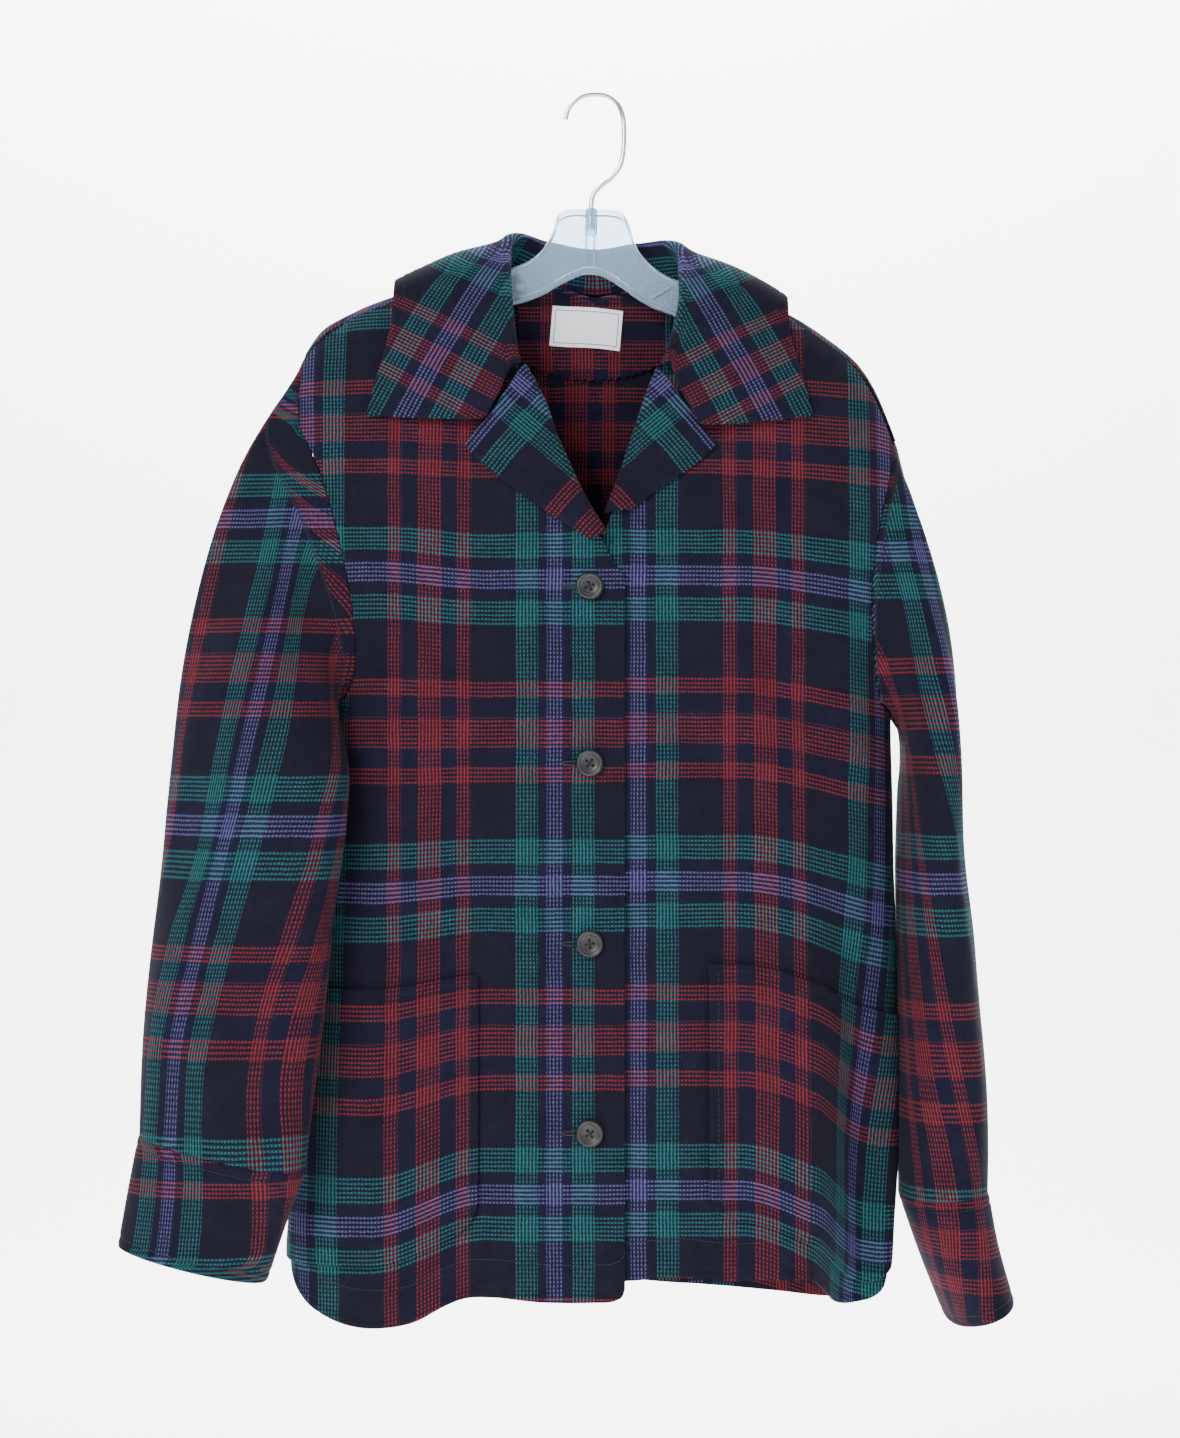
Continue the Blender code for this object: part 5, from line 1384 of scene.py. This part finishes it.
def hook():
    """Bent wire, its lower end in the hanger's bore."""
    places = np.linspace(0, len(HOOK) - 1, 160)
    x, z = (hermite(np.arange(len(HOOK)), values, places) for values in zip(*HOOK))
    mesh = bmesh.new()
    rod(mesh, np.stack([x, np.zeros_like(x), z], -1), WIRE / 2, 20)
    from_bmesh("hanger_hook", mesh, "steel", "hanger_hook", 50)


class Nodes:
    """Short words for building a material's nodes."""

    def __init__(self, name):
        self.material = bpy.data.materials.new(name)
        self.material.use_nodes = True
        self.tree = self.material.node_tree
        self.shader = self.tree.nodes["Principled BSDF"]

    def node(self, kind, **settings):
        made = self.tree.nodes.new(kind)
        for key, value in settings.items():
            setattr(made, key, value)
        return made

    def shade(self, **sockets):
        for key, value in sockets.items():
            self.shader.inputs[key.replace("_", " ")].default_value = value

    def feed(self, value, socket):
        if hasattr(value, "is_output"):
            self.tree.links.new(value, socket)
        else:
            socket.default_value = value

    def math(self, operation, a, b=0.0):
        made = self.node("ShaderNodeMath", operation=operation)
        self.feed(a, made.inputs[0])
        self.feed(b, made.inputs[1])
        return made.outputs[0]

    def mix(self, share, a, b, blend="MIX"):
        made = self.node("ShaderNodeMix", data_type="RGBA", blend_type=blend)
        self.feed(share, made.inputs[0])
        self.feed(a, made.inputs[6])
        self.feed(b, made.inputs[7])
        return made.outputs[2]

    def ramp(self, value, stops, how="CONSTANT"):
        made = self.node("ShaderNodeValToRGB")
        made.color_ramp.interpolation = how
        elements = made.color_ramp.elements
        for element, stop in zip(elements, stops):
            element.position, element.color = stop
        for place, colour in stops[2:]:
            elements.new(place).color = colour
        self.feed(value, made.inputs[0])
        return made.outputs[0]

    def greys(self, value, *stops):
        return self.ramp(value, [(place, (grey, grey, grey, 1)) for place, grey in stops], "LINEAR")

    def noise(self, vector, scale, detail=2.0, roughness=0.5):
        made = self.node("ShaderNodeTexNoise")
        self.feed(vector, made.inputs["Vector"])
        for key, value in (("Scale", scale), ("Detail", detail), ("Roughness", roughness)):
            made.inputs[key].default_value = value
        return made.outputs["Fac"]

    def cloth(self):
        """The cloth's own coordinates, whole and apart."""
        uv = self.node("ShaderNodeUVMap", uv_map="cloth").outputs[0]
        apart = self.node("ShaderNodeSeparateXYZ")
        self.feed(uv, apart.inputs[0])
        return uv, apart.outputs

    def bump(self, height, strength, distance):
        made = self.node("ShaderNodeBump")
        made.inputs["Strength"].default_value = strength
        made.inputs["Distance"].default_value = distance
        self.feed(height, made.inputs["Height"])
        self.feed(made.outputs["Normal"], self.shader.inputs["Normal"])


def sett_stops(which):
    """Colours of one set of threads round the repeat, for a ramp."""
    k = SETT_COLUMNS.index(which)
    return [(row[0] / PAIRS, (*YARN[row[k]], 1)) for row in SETT]


def wool():
    """Brushed plain weave: coloured threads on navy ones, one pair in the sett at a time."""
    n = Nodes("wool")
    uv, apart = n.cloth()
    wobble = n.math("SUBTRACT", n.noise(uv, 420.0, 3.0), 0.5)
    slack = n.math("SUBTRACT", n.noise(uv, 26.0, 2.0), 0.5)
    colours, parities, rounds = [], [], []
    for k, repeat in ((0, WARP_REPEAT), (1, WEFT_REPEAT)):
        loose = n.math("MULTIPLY", wobble, 0.0011)
        drift = n.math("MULTIPLY", slack, 0.0016)
        moved = n.math("ADD", n.math("ADD", apart[k], loose), drift)
        turns = n.math("DIVIDE", moved, repeat)
        share = n.math("FRACT", turns)
        thread = n.math("MULTIPLY", turns, float(THREADS))
        parities.append(n.math("FLOORED_MODULO", n.math("FLOOR", thread), 2.0))
        colours.append([n.ramp(share, sett_stops(which)) for which in ("first", "second")])
        rounds.append(n.math("ABSOLUTE", n.math("SINE", n.math("MULTIPLY", thread, math.pi))))
    warp = n.mix(parities[0], colours[0][0], colours[0][1])
    weft = n.mix(parities[1], colours[1][1], colours[1][0])
    over = n.math("FLOORED_MODULO", n.math("ADD", parities[0], parities[1]), 2.0)
    colour = n.mix(FUZZ, n.mix(over, warp, weft), n.mix(0.5, warp, weft))
    profile = n.node("ShaderNodeMix", data_type="FLOAT")
    n.feed(over, profile.inputs[0])
    n.feed(rounds[0], profile.inputs[2])
    n.feed(rounds[1], profile.inputs[3])
    height = profile.outputs[0]
    # Painted shade and painted highlight: the same yarn profile that drives the bump also darkens the
    # colour in the grooves between the round yarns and lightens it on their tops
    colour = n.mix(1.0, colour, n.greys(height, (0.0, 0.62), (1.0, 1.16)), "MULTIPLY")
    tint = n.ramp(n.noise(uv, 700.0, 2.0, 0.7), TINTS, "LINEAR")
    colour = n.mix(1.0, colour, tint, "ADD")
    fuzz = n.noise(uv, 1500.0, 2.0, 0.7)
    haze = n.greys(fuzz, (0.42, 0), (0.72, 1))
    colour = n.mix(n.math("MULTIPLY", haze, NAP), colour, (*NAP_COLOUR, 1))
    colour = n.mix(1.0, colour, n.greys(n.noise(uv, 55.0, 3.0), (0.3, 0.86), (0.7, 1.1)), "MULTIPLY")
    n.feed(colour, n.shader.inputs["Base Color"])
    n.shade(Roughness=0.94, Specular_IOR_Level=0.06, Sheen_Weight=0.03, Sheen_Roughness=0.55,
            Sheen_Tint=(0.62, 0.66, 0.8, 1))
    n.bump(n.math("ADD", n.math("MULTIPLY", height, 0.7), n.math("MULTIPLY", fuzz, 0.8)), 0.45, 0.0005)
    return n.material


def label_cloth():
    """Bright satin ribbon with a thin border and nothing else woven in."""
    n = Nodes("label")
    apart = n.cloth()[1]
    ins = [n.math("SUBTRACT", size * MM / 2, n.math("ABSOLUTE", apart[k]))
           for k, size in enumerate((LABEL_WIDTH, LABEL_HEIGHT))]
    line = n.math("COMPARE", n.math("MINIMUM", *ins), 0.0026)
    line.node.inputs[2].default_value = 0.0003
    woven = n.math("SINE", n.math("MULTIPLY", apart[1], 14000.0))
    weave = n.math("MULTIPLY", n.math("ADD", woven, 1.0), 0.08)
    white = n.mix(weave, (0.86, 0.85, 0.88, 1), (0.6, 0.6, 0.66, 1))
    n.feed(n.mix(line, white, (0.16, 0.16, 0.2, 1)), n.shader.inputs["Base Color"])
    n.shade(Roughness=0.55)
    n.bump(woven, 0.25, 0.0002)
    return n.material


def plain(name, colour, roughness, metallic=0.0, **sockets):
    """Even material, its other sockets named with underscores for spaces."""
    n = Nodes(name)
    n.shade(Base_Color=(*colour, 1), Roughness=roughness, Metallic=metallic, **sockets)
    return n.material


def lamp(name, place, aim, size, power):
    """Oblong soft lamp, turned to what it lights."""
    data = bpy.data.lights.new(name, "AREA")
    data.shape = "RECTANGLE"
    data.size, data.size_y = size
    data.energy = power
    made = linked(name, data)
    made.location = place
    made.rotation_euler = (Vector(aim) - Vector(place)).to_track_quat("-Z", "Y").to_euler()


def studio():
    """Pale floor that curves up behind, soft lamps and the camera of the photograph."""
    mesh = bmesh.new()
    turn = np.linspace(0, math.pi / 2, 17)
    bend = [(WALL_Y - SWEEP + SWEEP * math.sin(a), FLOOR + SWEEP - SWEEP * math.cos(a)) for a in turn]
    path = [(STAGE_NEAR, FLOOR), *bend, (WALL_Y, STAGE_TOP)]
    rows = [[mesh.verts.new((x, y, z)) for x in (-STAGE_HALF, STAGE_HALF)] for y, z in path]
    for a, b in zip(rows, rows[1:]):
        mesh.faces.new((a[0], a[1], b[1], b[0]))
    data = bpy.data.meshes.new("floor")
    mesh.to_mesh(data)
    mesh.free()
    data.shade_smooth()
    data.materials.append(plain("floor", (0.93, 0.93, 0.94), 0.9))
    floor = linked("floor", data)
    lamp("key", (-1.3, -2.3, 0.9), JACKET_MIDDLE, (1.3, 1.2), 86)
    lamp("fill", (1.9, -2.0, -0.1), JACKET_MIDDLE, (1.6, 1.8), 12)
    lamp("low", (0.0, -2.4, -1.0), (0, 0, -0.6), (2.2, 0.8), 14)
    lamp("back", (0.0, 1.3, 2.4), (0, 3.3, -0.2), (4.0, 1.2), 900)
    world = bpy.data.worlds.new("studio")
    world.use_nodes = True
    sky = world.node_tree.nodes["Background"].inputs
    sky["Color"].default_value, sky["Strength"].default_value = (0.94, 0.96, 1.0, 1), 0.55
    bpy.context.scene.world = world
    data = bpy.data.cameras.new("camera")
    data.lens = LENS
    data.sensor_fit = "VERTICAL"
    data.sensor_height = 36.0
    camera = linked("camera", data)
    camera.location = CAMERA_PLACE
    camera.rotation_euler = (math.pi / 2, 0, 0)
    bpy.context.scene.camera = camera


MATERIALS = {
    "wool": wool(),
    "label": label_cloth(),
    "button": plain("button", (0.0075, 0.0055, 0.0065), 0.44, Coat_Weight=0.15, Coat_Roughness=0.3),
    "thread": plain("thread", (0.008, 0.008, 0.014), 0.8),
    "plastic": plain("plastic", (0.62, 0.82, 1.0), 0.06, Transmission_Weight=0.78, IOR=1.45),
    "steel": plain("steel", (0.78, 0.78, 0.8), 0.16, 1.0),
}

for side, word in WEARER.items():
    front_panel(f"front_{word}", side)
on_body("back", BACK, back_places(), 0.0, WALL, "back", ("low",))
for side, word in WEARER.items():
    lapel(f"facing_{word}", side)
collar()
for build in (sleeve, cuff, pocket):
    for side, word in WEARER.items():
        build(f"{build.__name__}_{word}", side)
back_facing()
label()
for count, button_z in enumerate(BUTTON_HEIGHTS, 1):
    button(count, button_z)
buttonholes()
for side, word in WEARER.items():
    front_stitches(f"stitching_front_{word}", side)
    pocket_stitches(f"stitching_pocket_{word}", side)
    ring_stitches(f"stitching_cuff_{word}", side)
hanger_body()
hook()
studio()
